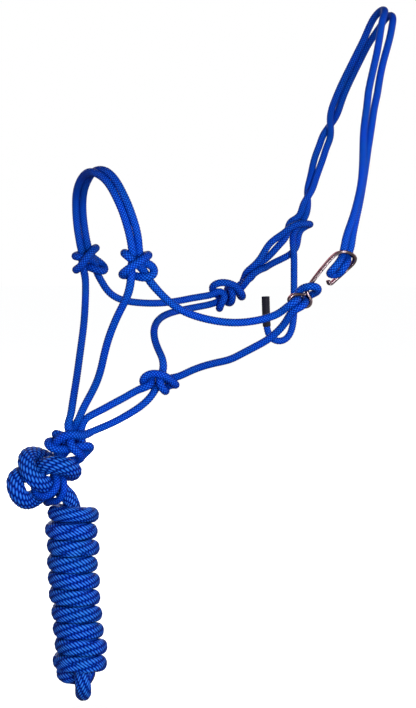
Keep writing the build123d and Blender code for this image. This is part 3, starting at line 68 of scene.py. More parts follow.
# Rope centre lines, as (x, y, z) in mm. Places along a rope ("chord places") are measured in
# straight lines from point to point. CORD is the halter's one cord, from its loose tail.
CORD = [
    (-89.53, 66, -250.69), (-89.07, 65.97, -264.67), (-88.23, 66.07, -276.68), (-87.02, 66.39, -282.23),
    (-85.1, 66.7, -286.14), (-82.33, 66.99, -289.11), (-78.82, 67.25, -291.06), (-74.95, 67.49, -291.8),
    (-71.12, 67.72, -291.3), (-67.66, 67.95, -289.62), (-64.85, 68.19, -286.91), (-62.62, 68.44, -283.07),
    (-60.71, 68.75, -276.86), (-59.31, 69.19, -264.68), (-59.18, 69.57, -250.7), (-59.09, 69.95, -236.71),
    (-58.94, 70.42, -222.73), (-59.35, 70.41, -209.17), (-59.83, 71.22, -201.44), (-59.3, 72.79, -195.78),
    (-57.4, 74.58, -190.84), (-54.08, 76, -186.42), (-50.39, 76.42, -182.53), (-47.67, 75.75, -178.93),
    (-45.91, 74.28, -174.92), (-44.94, 72.64, -169.98), (-44.42, 72.25, -164.87), (-44.24, 73.15, -158.22),
    (-44.03, 73.84, -148.07), (-43.42, 73.38, -141.4), (-43.43, 71.42, -135.14), (-43.66, 66.29, -124.32),
    (-41.93, 61.58, -113.4), (-37.82, 57.74, -103), (-33.25, 55.44, -95.28), (-30.69, 53.34, -91.08),
    (-28.86, 50.03, -87.12), (-27.35, 45.43, -81.76), (-25.47, 42.09, -75.51), (-21.65, 38.4, -64.45),
    (-17.23, 34.15, -51.88), (-12.77, 29.27, -39.55), (-7.9, 24.55, -27.32), (-3.11, 19.63, -15.14),
    (0.34, 13.77, -4.56), (1.81, 10.7, -0.6), (2.75, 8.07, 1.54), (3.4, 5.22, 2.73), (3.69, 2.12, 2.97),
    (3.55, -0.93, 2.24), (2.96, -3.81, 0.61), (1.79, -6.68, -2.12), (-0.38, -9.91, -6.97), (-4.83, -14.68, -17.69),
    (-10.31, -19.08, -29.78), (-15.82, -23.2, -41.96), (-20.66, -27.33, -54.42), (-24.87, -31.5, -67.09),
    (-28.82, -35.71, -79.83), (-32.79, -39.94, -92.56), (-36.85, -44.1, -105.28), (-41.04, -48.09, -118.02),
    (-45.27, -51.79, -130.82), (-49.24, -55.08, -143.82), (-53.08, -58.21, -156.91), (-57.33, -61.72, -169.76),
    (-62.12, -65.76, -182.26), (-66.57, -69.88, -193.22), (-68.28, -71.47, -199.22), (-69.64, -71.56, -204.93),
    (-70.59, -71.45, -207.84), (-71.38, -71.71, -209.78), (-72.18, -72.57, -211.52), (-72.93, -73.99, -212.95),
    (-74.03, -76.28, -214.47), (-75.38, -78.43, -215.96), (-76.69, -79.74, -217.46), (-77.98, -80.33, -219.2),
    (-79.17, -80.11, -221.08), (-80.17, -79.09, -222.8), (-81.07, -77.43, -224.17), (-82.06, -75.69, -225.02),
    (-83.36, -74.26, -225.47), (-85.11, -73.34, -225.64), (-87.08, -73.23, -225.5), (-88.85, -73.97, -225.03),
    (-90.07, -75.31, -224.21), (-90.59, -76.86, -223.08), (-90.47, -78.31, -221.66), (-89.72, -79.47, -219.91),
    (-88.42, -80.08, -217.98), (-86.63, -79.99, -216.09), (-84.45, -79.13, -214.4), (-81.79, -77.3, -212.75),
    (-79.46, -75.09, -210.95), (-78.1, -73.69, -209.25), (-76.97, -72.83, -207.09), (-75.92, -72.41, -204.19),
    (-74.22, -72.01, -197.12), (-70.12, -71.1, -185.64), (-64.67, -68.41, -173.74), (-59.28, -64.83, -161.34),
    (-55.07, -61.67, -148.39), (-52.35, -58.25, -135.11), (-50.34, -53.86, -121.98), (-48.04, -48.97, -109.08),
    (-44.72, -44.09, -96.4), (-40.73, -39.65, -83.76), (-36.41, -35.52, -71.11), (-31.74, -31.31, -58.62),
    (-26.67, -26.83, -46.37), (-21.66, -22.37, -34.1), (-17.34, -18.37, -21.41), (-13.47, -14.6, -8.96),
    (-10.74, -11.85, -2.43), (-7.8, -8.49, 2.1), (-5.34, -4.64, 5.07), (-4.09, -1.22, 6.72), (-3.64, 1.93, 7.52),
    (-3.78, 5, 7.52), (-4.42, 7.85, 6.62), (-5.46, 10.21, 4.92), (-6.89, 12.13, 2.4), (-9.36, 14.11, -2),
    (-15.07, 18.56, -13.4), (-19.66, 23.5, -25.66), (-23.96, 28.56, -37.97), (-28.28, 33.84, -50.18),
    (-32.02, 38.82, -62.7), (-34.2, 43.08, -75.82), (-34.06, 46.16, -87.21), (-32.38, 48.68, -95.35),
    (-30.89, 52.41, -103.34), (-31.15, 55.44, -111.87), (-33.65, 59.34, -124.76), (-37.35, 63.18, -137.69),
    (-40.72, 66.06, -147.03), (-44.22, 67.04, -153.51), (-47.75, 67.8, -158.86), (-50.11, 69.53, -164.14),
    (-51.16, 71.59, -169.72), (-51.84, 72.96, -172.84), (-53.13, 74.2, -175.24), (-55.23, 75.15, -177.15),
    (-57.91, 75.51, -178.72), (-60.46, 75.2, -180.43), (-62.33, 74.6, -182.71), (-63.4, 74.04, -185.52),
    (-64.27, 73.6, -189.47), (-65.87, 73.13, -193.57), (-68.62, 72.45, -197.19), (-74.01, 71.82, -202.51),
    (-81.13, 72.65, -210.15), (-86.29, 73.79, -214.99), (-90.26, 75.54, -218.35), (-92.92, 76.55, -221.48),
    (-95.47, 76.53, -225.37), (-98.21, 75.4, -229.41), (-100.52, 74.63, -231.97), (-103.27, 74.65, -234.06),
    (-106.15, 75.69, -235.86), (-109.39, 77.93, -238.19), (-112.2, 80.01, -241.15), (-114.33, 80.97, -244.09),
    (-116.01, 81.11, -246.14), (-117.96, 80.74, -247.69), (-120.19, 79.95, -248.75), (-123.18, 78.86, -249.89),
    (-126.18, 78.38, -251.43), (-130.44, 78.27, -253.63), (-135.55, 77.35, -255.36), (-143.08, 75.03, -256.93),
    (-154.72, 72.92, -258.65), (-166.71, 69.08, -260.18), (-179.28, 63.22, -261.91), (-190.72, 55.53, -264.18),
    (-199.7, 47.37, -267.55), (-205.66, 40.02, -271.93), (-209.41, 32.6, -277.26), (-211.09, 25.04, -283.69),
    (-210.88, 15.02, -292.29), (-210.51, 8.56, -297.05), (-210.37, 5.98, -299.66), (-210.29, 4.39, -302.61),
    (-210.36, 3.81, -305.93), (-210.83, 4.12, -309.63), (-212.23, 4.75, -314.45), (-214.34, 4.31, -319.01),
    (-217.64, 2.41, -324.38), (-222.88, 0.41, -330.81), (-229.75, -0.12, -336.96), (-241.05, 0.01, -344.16),
    (-253.6, 0.01, -350.3), (-266.6, 0, -355.46), (-273.72, -0.39, -357.9), (-278.51, -1.84, -359.44),
    (-282.69, -4.08, -360.35), (-287.25, -5.98, -360.38), (-291.21, -7.45, -359.61), (-294.06, -8.02, -359.13),
    (-297.02, -7.89, -359.2), (-300.32, -7.05, -359.97), (-303.34, -5.54, -361.51), (-305.52, -3.45, -363.64),
    (-306.68, -1.04, -366.26), (-306.89, 1.23, -369.16), (-306.35, 2.91, -371.52), (-305.12, 4.01, -373.81),
    (-303.52, 4.22, -376.12), (-302.1, 3.52, -378.54), (-301.36, 2.25, -381.28), (-301.43, 1.29, -383.9),
    (-301.86, 1.02, -386.63), (-302.29, 1.05, -389.3), (-302.47, 0.74, -391.62), (-302.37, -0.22, -393.74),
    (-302.23, -1.92, -395.57), (-302.1, -4.42, -397.34), (-302.08, -6.83, -399.23), (-302.17, -8.5, -401.55),
    (-302.43, -9.29, -404.28), (-302.94, -9.16, -407.15), (-303.84, -8.12, -410.12), (-305.24, -6.05, -412.98),
    (-307.06, -2.95, -415.25), (-308.97, 0.87, -416.47), (-310.33, 4.41, -417.17), (-311.13, 8.49, -418.47),
    (-311.32, 12.67, -419.69), (-311.36, 16.8, -419.77), (-311.25, 20.4, -418.77), (-310.89, 23.29, -416.93),
    (-310.3, 25.31, -414.5), (-309.55, 26.39, -411.64), (-308.76, 26.4, -408.6), (-307.86, 25.43, -405.62),
    (-306.72, 24.24, -403.23), (-305.19, 23.56, -401.21), (-303.25, 23.66, -399.47), (-301.06, 24.44, -398),
    (-298.42, 25.49, -396.45), (-295.79, 25.69, -394.69), (-293.32, 24.85, -392.87), (-291.06, 22.99, -391.08),
    (-289.08, 19.94, -389.23), (-287.77, 15.75, -387.42), (-286.87, 12.15, -385.83), (-285.4, 9.36, -383.79),
    (-283.31, 7.34, -381.18), (-280.3, 5.6, -377.72), (-278.5, 4.35, -375.66), (-277.42, 2.98, -374.13),
    (-276.98, 1.37, -372.82), (-277.25, -0.37, -371.7), (-278.27, -1.96, -370.85), (-279.9, -3.14, -370.29),
    (-281.95, -3.75, -370), (-284.34, -3.77, -369.95), (-287.37, -3.18, -370.23), (-291.64, -2.3, -371.19),
    (-295.22, -2.37, -372), (-298.9, -3.09, -372.09), (-303.74, -4.5, -371.7), (-306.48, -5.04, -371.37),
    (-308.72, -5, -370.87), (-310.74, -4.3, -370.04), (-312.26, -2.94, -368.95), (-313.06, -1.08, -367.78),
    (-313.04, 1.05, -366.76), (-312.22, 3.18, -366.09), (-310.73, 5.03, -365.88), (-308.64, 6.48, -366.12),
    (-306.12, 7.39, -366.62), (-302.38, 8.11, -366.98), (-299.23, 8.43, -366.51), (-296.67, 8.29, -365.49),
    (-294.42, 7.57, -364.03), (-292.27, 6.43, -361.52), (-290.94, 5.14, -358.32), (-290, 2.9, -354.12),
    (-288.77, -0.11, -350.27), (-287.18, -2.23, -346.21), (-284.72, -3.91, -339.9), (-280.24, -8.08, -329.07),
    (-275.78, -13.94, -317.19), (-273.21, -20.28, -305.01), (-272.1, -26.84, -292.7), (-270.79, -33.51, -280.48),
    (-268.42, -40.09, -268.37), (-264.83, -46.3, -256.37), (-261.24, -52.64, -245.71), (-259.37, -55.66, -239.13),
    (-258, -57.26, -231.37), (-257.56, -57.62, -226.47), (-257.17, -57.15, -223.11), (-256.57, -55.84, -220.02),
    (-255.98, -54.61, -217.12), (-255.53, -54.18, -214.17), (-255.38, -54.59, -210.94), (-255.87, -55.87, -206.19),
    (-257.25, -56.89, -198.4), (-258.76, -55.91, -190.26), (-262.1, -52.55, -177.88), (-265.86, -47.88, -166.86),
    (-269.38, -40.45, -156.41), (-271.92, -32.43, -148.81), (-274.01, -24.19, -143.98), (-276.12, -15.25, -141.31),
    (-277.26, -5.58, -140.53), (-277.38, 7.59, -141.55), (-277.77, 20.15, -144.47), (-278.2, 31.26, -149.7),
    (-277.28, 41.14, -156.51), (-276.04, 47.15, -162.71), (-274.76, 51.47, -170.16), (-272.83, 55.4, -181.77),
    (-270.82, 57, -193.23), (-268.28, 58.33, -203.97), (-267.06, 58.94, -208.33), (-266.73, 59.03, -211.56),
    (-267, 58.67, -214.09), (-267.41, 57.64, -216.39), (-267.59, 56.31, -218.98), (-267.13, 55.43, -222.09),
    (-266.29, 55.41, -225.47), (-265.13, 56.38, -230.9), (-264.73, 57, -238.06), (-265.17, 55.94, -246.11),
    (-266.65, 52.39, -256.28), (-269.16, 46.81, -268.85), (-272.37, 40.77, -281.05), (-275.89, 34.41, -293),
    (-279.47, 27.8, -304.8), (-283.18, 20.98, -316.43), (-287.12, 13.86, -327.81), (-290.96, 6.23, -338.09),
    (-293.08, 2.68, -343.9), (-294.96, 1.1, -348.64), (-295.72, 0.52, -351.88), (-295.57, 0.09, -354.92),
    (-294.85, -0.58, -357.97), (-294.45, -1.77, -360.86), (-294.86, -3.47, -363.48), (-295.43, -5.3, -365.61),
    (-295.41, -6.77, -367.33), (-294.78, -7.92, -369.08), (-293.64, -8.47, -370.85), (-292.08, -8.42, -372.61),
    (-290.05, -7.65, -374.46), (-287.73, -5.95, -376.53), (-286.32, -4.11, -378.23), (-285.74, -2.15, -379.77),
    (-286, -0.05, -381.13), (-287.1, 1.99, -382.13), (-288.89, 3.78, -382.68), (-291.49, 5.34, -382.96),
    (-294.81, 6.39, -383.45), (-298.11, 6.91, -384.72), (-301.36, 7.27, -386.78), (-303.54, 7.34, -388.89),
    (-305.17, 6.87, -390.63), (-306.66, 5.69, -392.04), (-307.86, 3.86, -392.93), (-308.57, 1.6, -393.3),
    (-308.64, -1.05, -393.41), (-308.35, -4.04, -394), (-308.23, -6.85, -395.56), (-308.45, -9.22, -397.92),
    (-309.28, -10.85, -400.72), (-310.9, -11.76, -403.61), (-313.16, -11.86, -406.12), (-315.7, -11.06, -408.09),
    (-318.2, -9.34, -409.43), (-320.53, -6.98, -409.89), (-322.66, -4.48, -409.28), (-324.12, -2.42, -407.98),
    (-324.83, -0.42, -406.39), (-324.8, 1.84, -404.91), (-324.05, 5.1, -403.41), (-322.25, 9.94, -402.14),
    (-320.68, 13.04, -401.47), (-319.33, 15.05, -400.57), (-317.99, 16.45, -399.18), (-316.67, 17.14, -397.33),
    (-315.47, 16.96, -395.29), (-314.41, 15.98, -393.35), (-313.32, 14.24, -391.46), (-312.03, 12.27, -389.64),
    (-310.3, 10.94, -387.63), (-308.06, 10.42, -385.41), (-305.16, 10.66, -383.04), (-302, 10.58, -380.88),
    (-299.11, 9.45, -378.84), (-297.07, 7.72, -376.57), (-296.04, 5.8, -373.83), (-296.09, 4, -370.82),
    (-296.76, 2.72, -368.48), (-297.82, 1.9, -366.11), (-299.18, 1.34, -363.8), (-300.4, 1.06, -362.19),
    (-301.88, 1.2, -360.87), (-303.44, 2.04, -360), (-304.67, 3.56, -359.69), (-305.2, 5.46, -359.84),
    (-304.92, 7.38, -360.26), (-304.02, 9.11, -360.74), (-302.4, 10.96, -361.31), (-299.89, 12.91, -362.06),
    (-297.41, 13.95, -362.81), (-294.74, 14.11, -363.6), (-291.96, 13.36, -364.37), (-288.42, 11.59, -365.45),
    (-286.04, 10.05, -366.43), (-284.63, 8.7, -367.06), (-283.63, 7.02, -367.44), (-283.21, 5.08, -367.31),
    (-283.45, 3.28, -366.54), (-284.13, 2.02, -365.18), (-284.87, 1.51, -363.4), (-285.28, 1.55, -361.45),
    (-285.1, 1.79, -359.17), (-284.26, 2, -356.47), (-282.94, 1.74, -352.3), (-281.43, 1.05, -349.08),
    (-279.04, 0.35, -346.53), (-275.83, -0.05, -344.58), (-268.33, -0.02, -341.11), (-255.73, -0.03, -335.06),
    (-244.07, 0.14, -329.46), (-238.62, -0.38, -326.49), (-233.8, -2.26, -323.92), (-230.73, -3.59, -322.6),
    (-228.48, -4.06, -321.72), (-226.33, -3.81, -320.78), (-224.51, -2.79, -319.68), (-223.27, -1.21, -318.38),
    (-222.75, 0.22, -317.08), (-222.17, 1.26, -315.49), (-221.1, 1.52, -313.84), (-219.63, 0.99, -312.63),
    (-218.07, -0.15, -312.23), (-216.8, -1.56, -312.76), (-216.11, -2.87, -314.07), (-216.05, -3.88, -315.79),
    (-216.19, -4.73, -317.79), (-215.93, -5.42, -320.08), (-215, -5.65, -322.26), (-213.59, -5.2, -324.11),
    (-212.04, -4.03, -325.49), (-210.63, -2.22, -326.3), (-209.49, 0.09, -326.51), (-208.55, 2.85, -326.06),
    (-207.75, 4.9, -325.33), (-206.72, 6.39, -324.51), (-205.23, 7.36, -323.62), (-203.43, 7.51, -322.83),
    (-201.68, 6.76, -322.27), (-200.42, 5.26, -321.97), (-199.86, 3.36, -321.84), (-199.99, 1.37, -321.68),
    (-200.76, -0.75, -321.26), (-202.2, -2.87, -320.29), (-204.29, -4.76, -318.62), (-207.92, -6.73, -315.85),
    (-211.94, -8.28, -313.33), (-214.57, -8.79, -311.99), (-217.37, -8.48, -311.05), (-220.78, -7.47, -310.45),
    (-224.12, -6.25, -310.59), (-226.68, -5.05, -311.45), (-228.55, -3.66, -312.87), (-229.62, -2, -314.71),
    (-229.75, -0.19, -316.71), (-229.03, 1.52, -318.59), (-227.66, 3, -320.12), (-225.76, 4.33, -321.17),
    (-222.65, 6.46, -321.96), (-219.17, 8.83, -321.88), (-216.24, 10.22, -321.18), (-213.3, 10.69, -320.06),
    (-210.46, 10.12, -318.74), (-207.67, 8.56, -317.51), (-203.79, 5.47, -316.34), (-197.63, 0.89, -314.39),
    (-189.62, -4.98, -309.9), (-180.54, -13.95, -304.87), (-171.43, -23.87, -301.09), (-162.83, -32.97, -297.75),
    (-154.95, -41.47, -292.27), (-146.11, -50.18, -285.83), (-137.42, -58.5, -278.77), (-131.17, -65.56, -270.99),
    (-127.6, -72.38, -262.9), (-126.24, -77.23, -257.51), (-125.06, -79.91, -255.09), (-123.4, -81.91, -253.45),
    (-121.48, -83.12, -252.25), (-119.41, -83.56, -251.13), (-117.38, -83.14, -249.93), (-115.63, -81.89, -248.83),
    (-114.28, -79.93, -247.94), (-113.42, -77.43, -247.34), (-112.59, -73.49, -247), (-111.8, -70.46, -246.8),
    (-110.91, -68.56, -246.51), (-109.67, -67.08, -246.03), (-108.06, -66.22, -245.26), (-106.32, -66.14, -244.31),
    (-104.77, -66.85, -243.29), (-103.53, -68.11, -242.35), (-102.34, -70.18, -241.29), (-101.4, -73.16, -240.03),
    (-101.22, -75.48, -238.9), (-101.62, -77.28, -237.8), (-102.55, -78.67, -236.71), (-104.03, -79.58, -235.75),
    (-105.89, -79.85, -235.09), (-107.81, -79.44, -234.81), (-109.55, -78.42, -234.89), (-111.04, -76.81, -235.25),
    (-112.3, -74.51, -235.89), (-113.21, -72.35, -236.72), (-113.97, -70.78, -237.71), (-114.85, -69.71, -239.14),
    (-115.82, -69.34, -240.86), (-116.86, -69.69, -242.66), (-117.87, -70.83, -244.34), (-118.67, -72.63, -245.58),
    (-119.2, -74.82, -246.15), (-119.69, -77.1, -246.15), (-120.61, -79.26, -246), (-122.1, -81.12, -245.98),
    (-123.77, -82.48, -246.37), (-125.44, -83.26, -247.12), (-127.13, -83.34, -248.16), (-128.59, -82.64, -249.3),
    (-129.74, -81.43, -250.44), (-130.92, -79.38, -251.97), (-132.59, -76.2, -254.35), (-134.87, -73.81, -256.54),
    (-138.01, -72.23, -258.44), (-142.67, -71.06, -260.24), (-154.23, -68.89, -262.95), (-167.83, -65.96, -264.32),
    (-181.53, -63.35, -263.55), (-195.13, -61.46, -260.91), (-208.37, -59.94, -256.71), (-219.67, -58.42, -250.8),
    (-230.01, -57.43, -242.29), (-237.23, -56.8, -234.68), (-241.36, -55.34, -229), (-243.34, -54.79, -225.57),
    (-244.98, -55.11, -222.94), (-246.86, -56.11, -220.8), (-249.69, -58.06, -218.38), (-252.86, -59.92, -215.86),
    (-255.89, -60.72, -213.55), (-258.1, -60.77, -211.76), (-259.8, -60.21, -210.24), (-261.1, -59.04, -208.91),
    (-261.9, -57.3, -207.85), (-262.05, -55.22, -207.19), (-261.49, -53.11, -206.98), (-260.27, -51.22, -207.15),
    (-258.45, -49.64, -207.61), (-255.66, -48.26, -208.38), (-252.05, -47.56, -209.19), (-248.87, -47.8, -209.57),
    (-246.22, -48.75, -209.55), (-244.29, -50.18, -209.28), (-242.96, -52.1, -208.91), (-242.4, -54.29, -208.63),
    (-242.59, -56.55, -208.63), (-243.4, -58.69, -208.93), (-245.06, -61.13, -209.64), (-248.13, -63.96, -211.06),
    (-251.58, -66, -212.85), (-254.4, -66.81, -214.47), (-257.42, -66.71, -216.36), (-260.66, -65.63, -218.6),
    (-262.83, -64.03, -220.4), (-264.19, -61.98, -221.9), (-264.74, -59.51, -223.14), (-264.38, -56.86, -224),
    (-263.13, -54.36, -224.49), (-261.3, -52.51, -224.7), (-259.2, -51.43, -224.81), (-257.03, -51.13, -224.93),
    (-254.91, -51.63, -225.12), (-253.13, -52.87, -225.37), (-251.7, -54.67, -225.71), (-250.19, -57.03, -226.19),
    (-248.29, -59.13, -226.52), (-246.07, -60.46, -226.51), (-243.73, -61.06, -226.12), (-241.6, -60.98, -225.3),
    (-239.94, -60.43, -224.06), (-238.89, -59.61, -222.44), (-238.62, -58.67, -220.58), (-239.15, -57.76, -218.77),
    (-240.39, -56.96, -217.2), (-242.27, -56.24, -215.87), (-244.73, -55.56, -214.55), (-246.85, -55.06, -213.03),
    (-248.36, -54.71, -210.88), (-249.21, -54.59, -208.27), (-249.85, -55.04, -204.54), (-250.86, -56.7, -198.29),
    (-251.98, -57.39, -191.65), (-254.18, -56.39, -181.1), (-256.77, -53.92, -169.83), (-259.35, -49.32, -160.15),
    (-261.87, -42.2, -150.96), (-264.44, -35.08, -144.88), (-267.21, -27.87, -141.22), (-269.48, -19.87, -139.38),
    (-270.91, -9.04, -138.91), (-271.11, 4.88, -140.13), (-270.41, 16.41, -142.96), (-270.14, 26.71, -148.02),
    (-269.71, 38.32, -155.65), (-268.96, 45.76, -162.15), (-268, 50.83, -169.27), (-266.82, 54.15, -177.74),
    (-265.14, 55.83, -188.76), (-262.88, 56.91, -200.03), (-261.07, 58.56, -206.18), (-259.67, 59.9, -209.24),
    (-257.53, 61.46, -211.65), (-255.03, 62.49, -213.45), (-252.4, 62.59, -215.22), (-249.99, 61.7, -217.14),
    (-248.26, 60.26, -219), (-247.39, 58.76, -220.55), (-247.2, 57.2, -221.92), (-247.7, 55.6, -223.07),
    (-248.87, 54.14, -223.84), (-250.55, 53.03, -224.12), (-252.55, 52.38, -223.94), (-254.83, 52.29, -223.37),
    (-257.37, 53, -222.53), (-259.45, 54.45, -221.77), (-260.88, 56.44, -221.09), (-261.85, 58.66, -220.47),
    (-262.92, 60.39, -220.18), (-264.37, 61.75, -220.16), (-266.2, 62.46, -220.4), (-268.13, 62.45, -220.88),
    (-269.97, 61.76, -221.57), (-271.59, 60.35, -222.34), (-272.76, 58.36, -222.91), (-273.32, 56.24, -223.06),
    (-273.27, 54.07, -222.71), (-272.71, 52.05, -221.86), (-271.64, 50.04, -220.35), (-269.93, 48.03, -217.82),
    (-268.06, 46.69, -215.03), (-266.31, 46.3, -212.65), (-264.36, 46.77, -210.36), (-261.47, 48.3, -207.65),
    (-258.63, 50.57, -205.59), (-256.66, 52.99, -204.46), (-255.4, 55.74, -203.95), (-254.96, 58.68, -204),
    (-255.4, 61.45, -204.48), (-256.52, 63.62, -205.2), (-258.23, 65.22, -206.13), (-260.4, 66.15, -207.17),
    (-263.33, 66.47, -208.35), (-266.9, 65.92, -209.47), (-269.49, 64.81, -210.13), (-271.34, 63.35, -210.58),
    (-272.58, 61.36, -210.95), (-273.02, 59.04, -211.26), (-272.6, 56.67, -211.53), (-271.33, 54.63, -211.8),
    (-269.45, 53.22, -212.08), (-267.22, 52.6, -212.43), (-264.92, 52.77, -212.93), (-262.36, 53.64, -213.59),
    (-259.23, 55.35, -214.7), (-257.27, 56.64, -215.91), (-255.91, 57.66, -217.44), (-255.07, 58.44, -219.42),
    (-254.44, 58.96, -222.08), (-253.3, 58.83, -226.39), (-250.93, 57.77, -231.73), (-247.36, 57.34, -237.84),
    (-242.64, 58.13, -243.41), (-236.49, 59.04, -247.75), (-228.75, 60.11, -250.74), (-216.41, 61.81, -252.92),
    (-202.55, 63.41, -253.93), (-188.67, 65.1, -253.82), (-174.92, 67.22, -252.41), (-161.3, 69.72, -250.44),
    (-148.19, 72.5, -248.83), (-141.5, 73.51, -247.74), (-136.88, 73.77, -246.09), (-134.8, 73.73, -245.36),
    (-132.85, 73.45, -245.07), (-131, 72.84, -245.44), (-129.61, 71.98, -246.56), (-128.99, 71.08, -248.21),
    (-129.13, 70.4, -250.07), (-129.82, 70.05, -251.94), (-130.91, 70.2, -254.17), (-131.82, 71.01, -256.39),
    (-132.18, 72.43, -258.33), (-132, 74.27, -259.76), (-131.45, 76.44, -260.51), (-130.63, 78.79, -260.58),
    (-129.36, 81.91, -259.97), (-127.37, 85.95, -258.75), (-125.97, 87.97, -257.88), (-124.49, 89.36, -256.76),
    (-122.93, 90.07, -255.2), (-121.52, 90.07, -253.31), (-120.34, 89.45, -250.89), (-119.77, 88.19, -247.95),
    (-119.99, 86.51, -245.18), (-120.39, 84.91, -243.48), (-120.71, 82.95, -242.36), (-120.83, 80.71, -241.89),
    (-120.85, 77.79, -242.02), (-120.86, 75.03, -242.89), (-120.91, 73.11, -244.15), (-120.93, 71.76, -245.8),
    (-120.84, 71.08, -247.82), (-120.74, 71.16, -250.01), (-120.66, 72.05, -252.18), (-120.63, 73.71, -254),
    (-120.67, 76.04, -255.28), (-120.88, 78.51, -255.79), (-121.37, 80.73, -255.62), (-122.26, 82.62, -254.86),
    (-123.57, 83.95, -253.63), (-125.21, 84.65, -252.24), (-127.54, 84.81, -250.61), (-130.46, 84.11, -248.82),
    (-134.11, 82.22, -246.34), (-136.37, 80.43, -244.08), (-137.51, 78.8, -242.21), (-137.89, 76.79, -240.44),
    (-137.35, 74.6, -238.87), (-135.9, 72.59, -237.62), (-133.71, 71.02, -236.79), (-130.88, 69.95, -236.46),
    (-127.32, 69.36, -236.73), (-122.53, 69.08, -237.98), (-118.46, 68.62, -240.08), (-115.59, 68.08, -242.72),
    (-113.97, 68.09, -244.8), (-112.5, 68.85, -246.81), (-111.24, 70.34, -248.51), (-110.36, 72.23, -249.63),
    (-109.89, 74.49, -250.17), (-109.67, 77.1, -250.11), (-109.48, 80, -249.23), (-109.19, 82.25, -247.68),
    (-108.74, 83.78, -245.62), (-108.16, 84.49, -243.17), (-107.39, 84.4, -240.52), (-106.31, 83.43, -237.37),
    (-105.13, 80.9, -232.47), (-104.66, 78.07, -228.65), (-103.52, 75.07, -225.79), (-101.1, 72.2, -222.83),
    (-97.8, 70.31, -219.39), (-94.04, 69.59, -214.96), (-88.79, 70.23, -207.51), (-83.07, 70.94, -200.52),
    (-76.75, 70.95, -195.58), (-70.46, 69.41, -191.1), (-64.98, 67.05, -186.47), (-60.92, 65.9, -183.96),
    (-56.41, 65.51, -182.52), (-51.42, 66.01, -182.06), (-47.18, 67.36, -182.18), (-44.37, 69.1, -182.38),
    (-42.52, 71.12, -182.57), (-41.5, 73.34, -182.82), (-41.28, 75.62, -183.19), (-41.84, 77.75, -183.8),
    (-43.1, 79.44, -184.69), (-44.79, 80.45, -185.86), (-46.63, 80.72, -187.31), (-48.48, 80.28, -189.13),
    (-50.27, 79.16, -191.71), (-51.79, 77.72, -195.8), (-52.92, 77.17, -200.78), (-54.45, 77.41, -204.99),
    (-56.97, 77.72, -208.43), (-60.51, 77.75, -211.15), (-67.67, 77.32, -214.72), (-77.06, 76.93, -218.78),
    (-82.05, 75.76, -221.04), (-86.89, 73.15, -223.12), (-92.47, 70.34, -224.7), (-97.7, 68.66, -226.96),
    (-102.33, 68.1, -230.17), (-105.87, 68.58, -233.77), (-108.59, 70.18, -237.75), (-110.95, 72.68, -241.27),
    (-112.93, 74.24, -243.58), (-114.54, 74.83, -245.55), (-115.72, 74.83, -247.59),
]
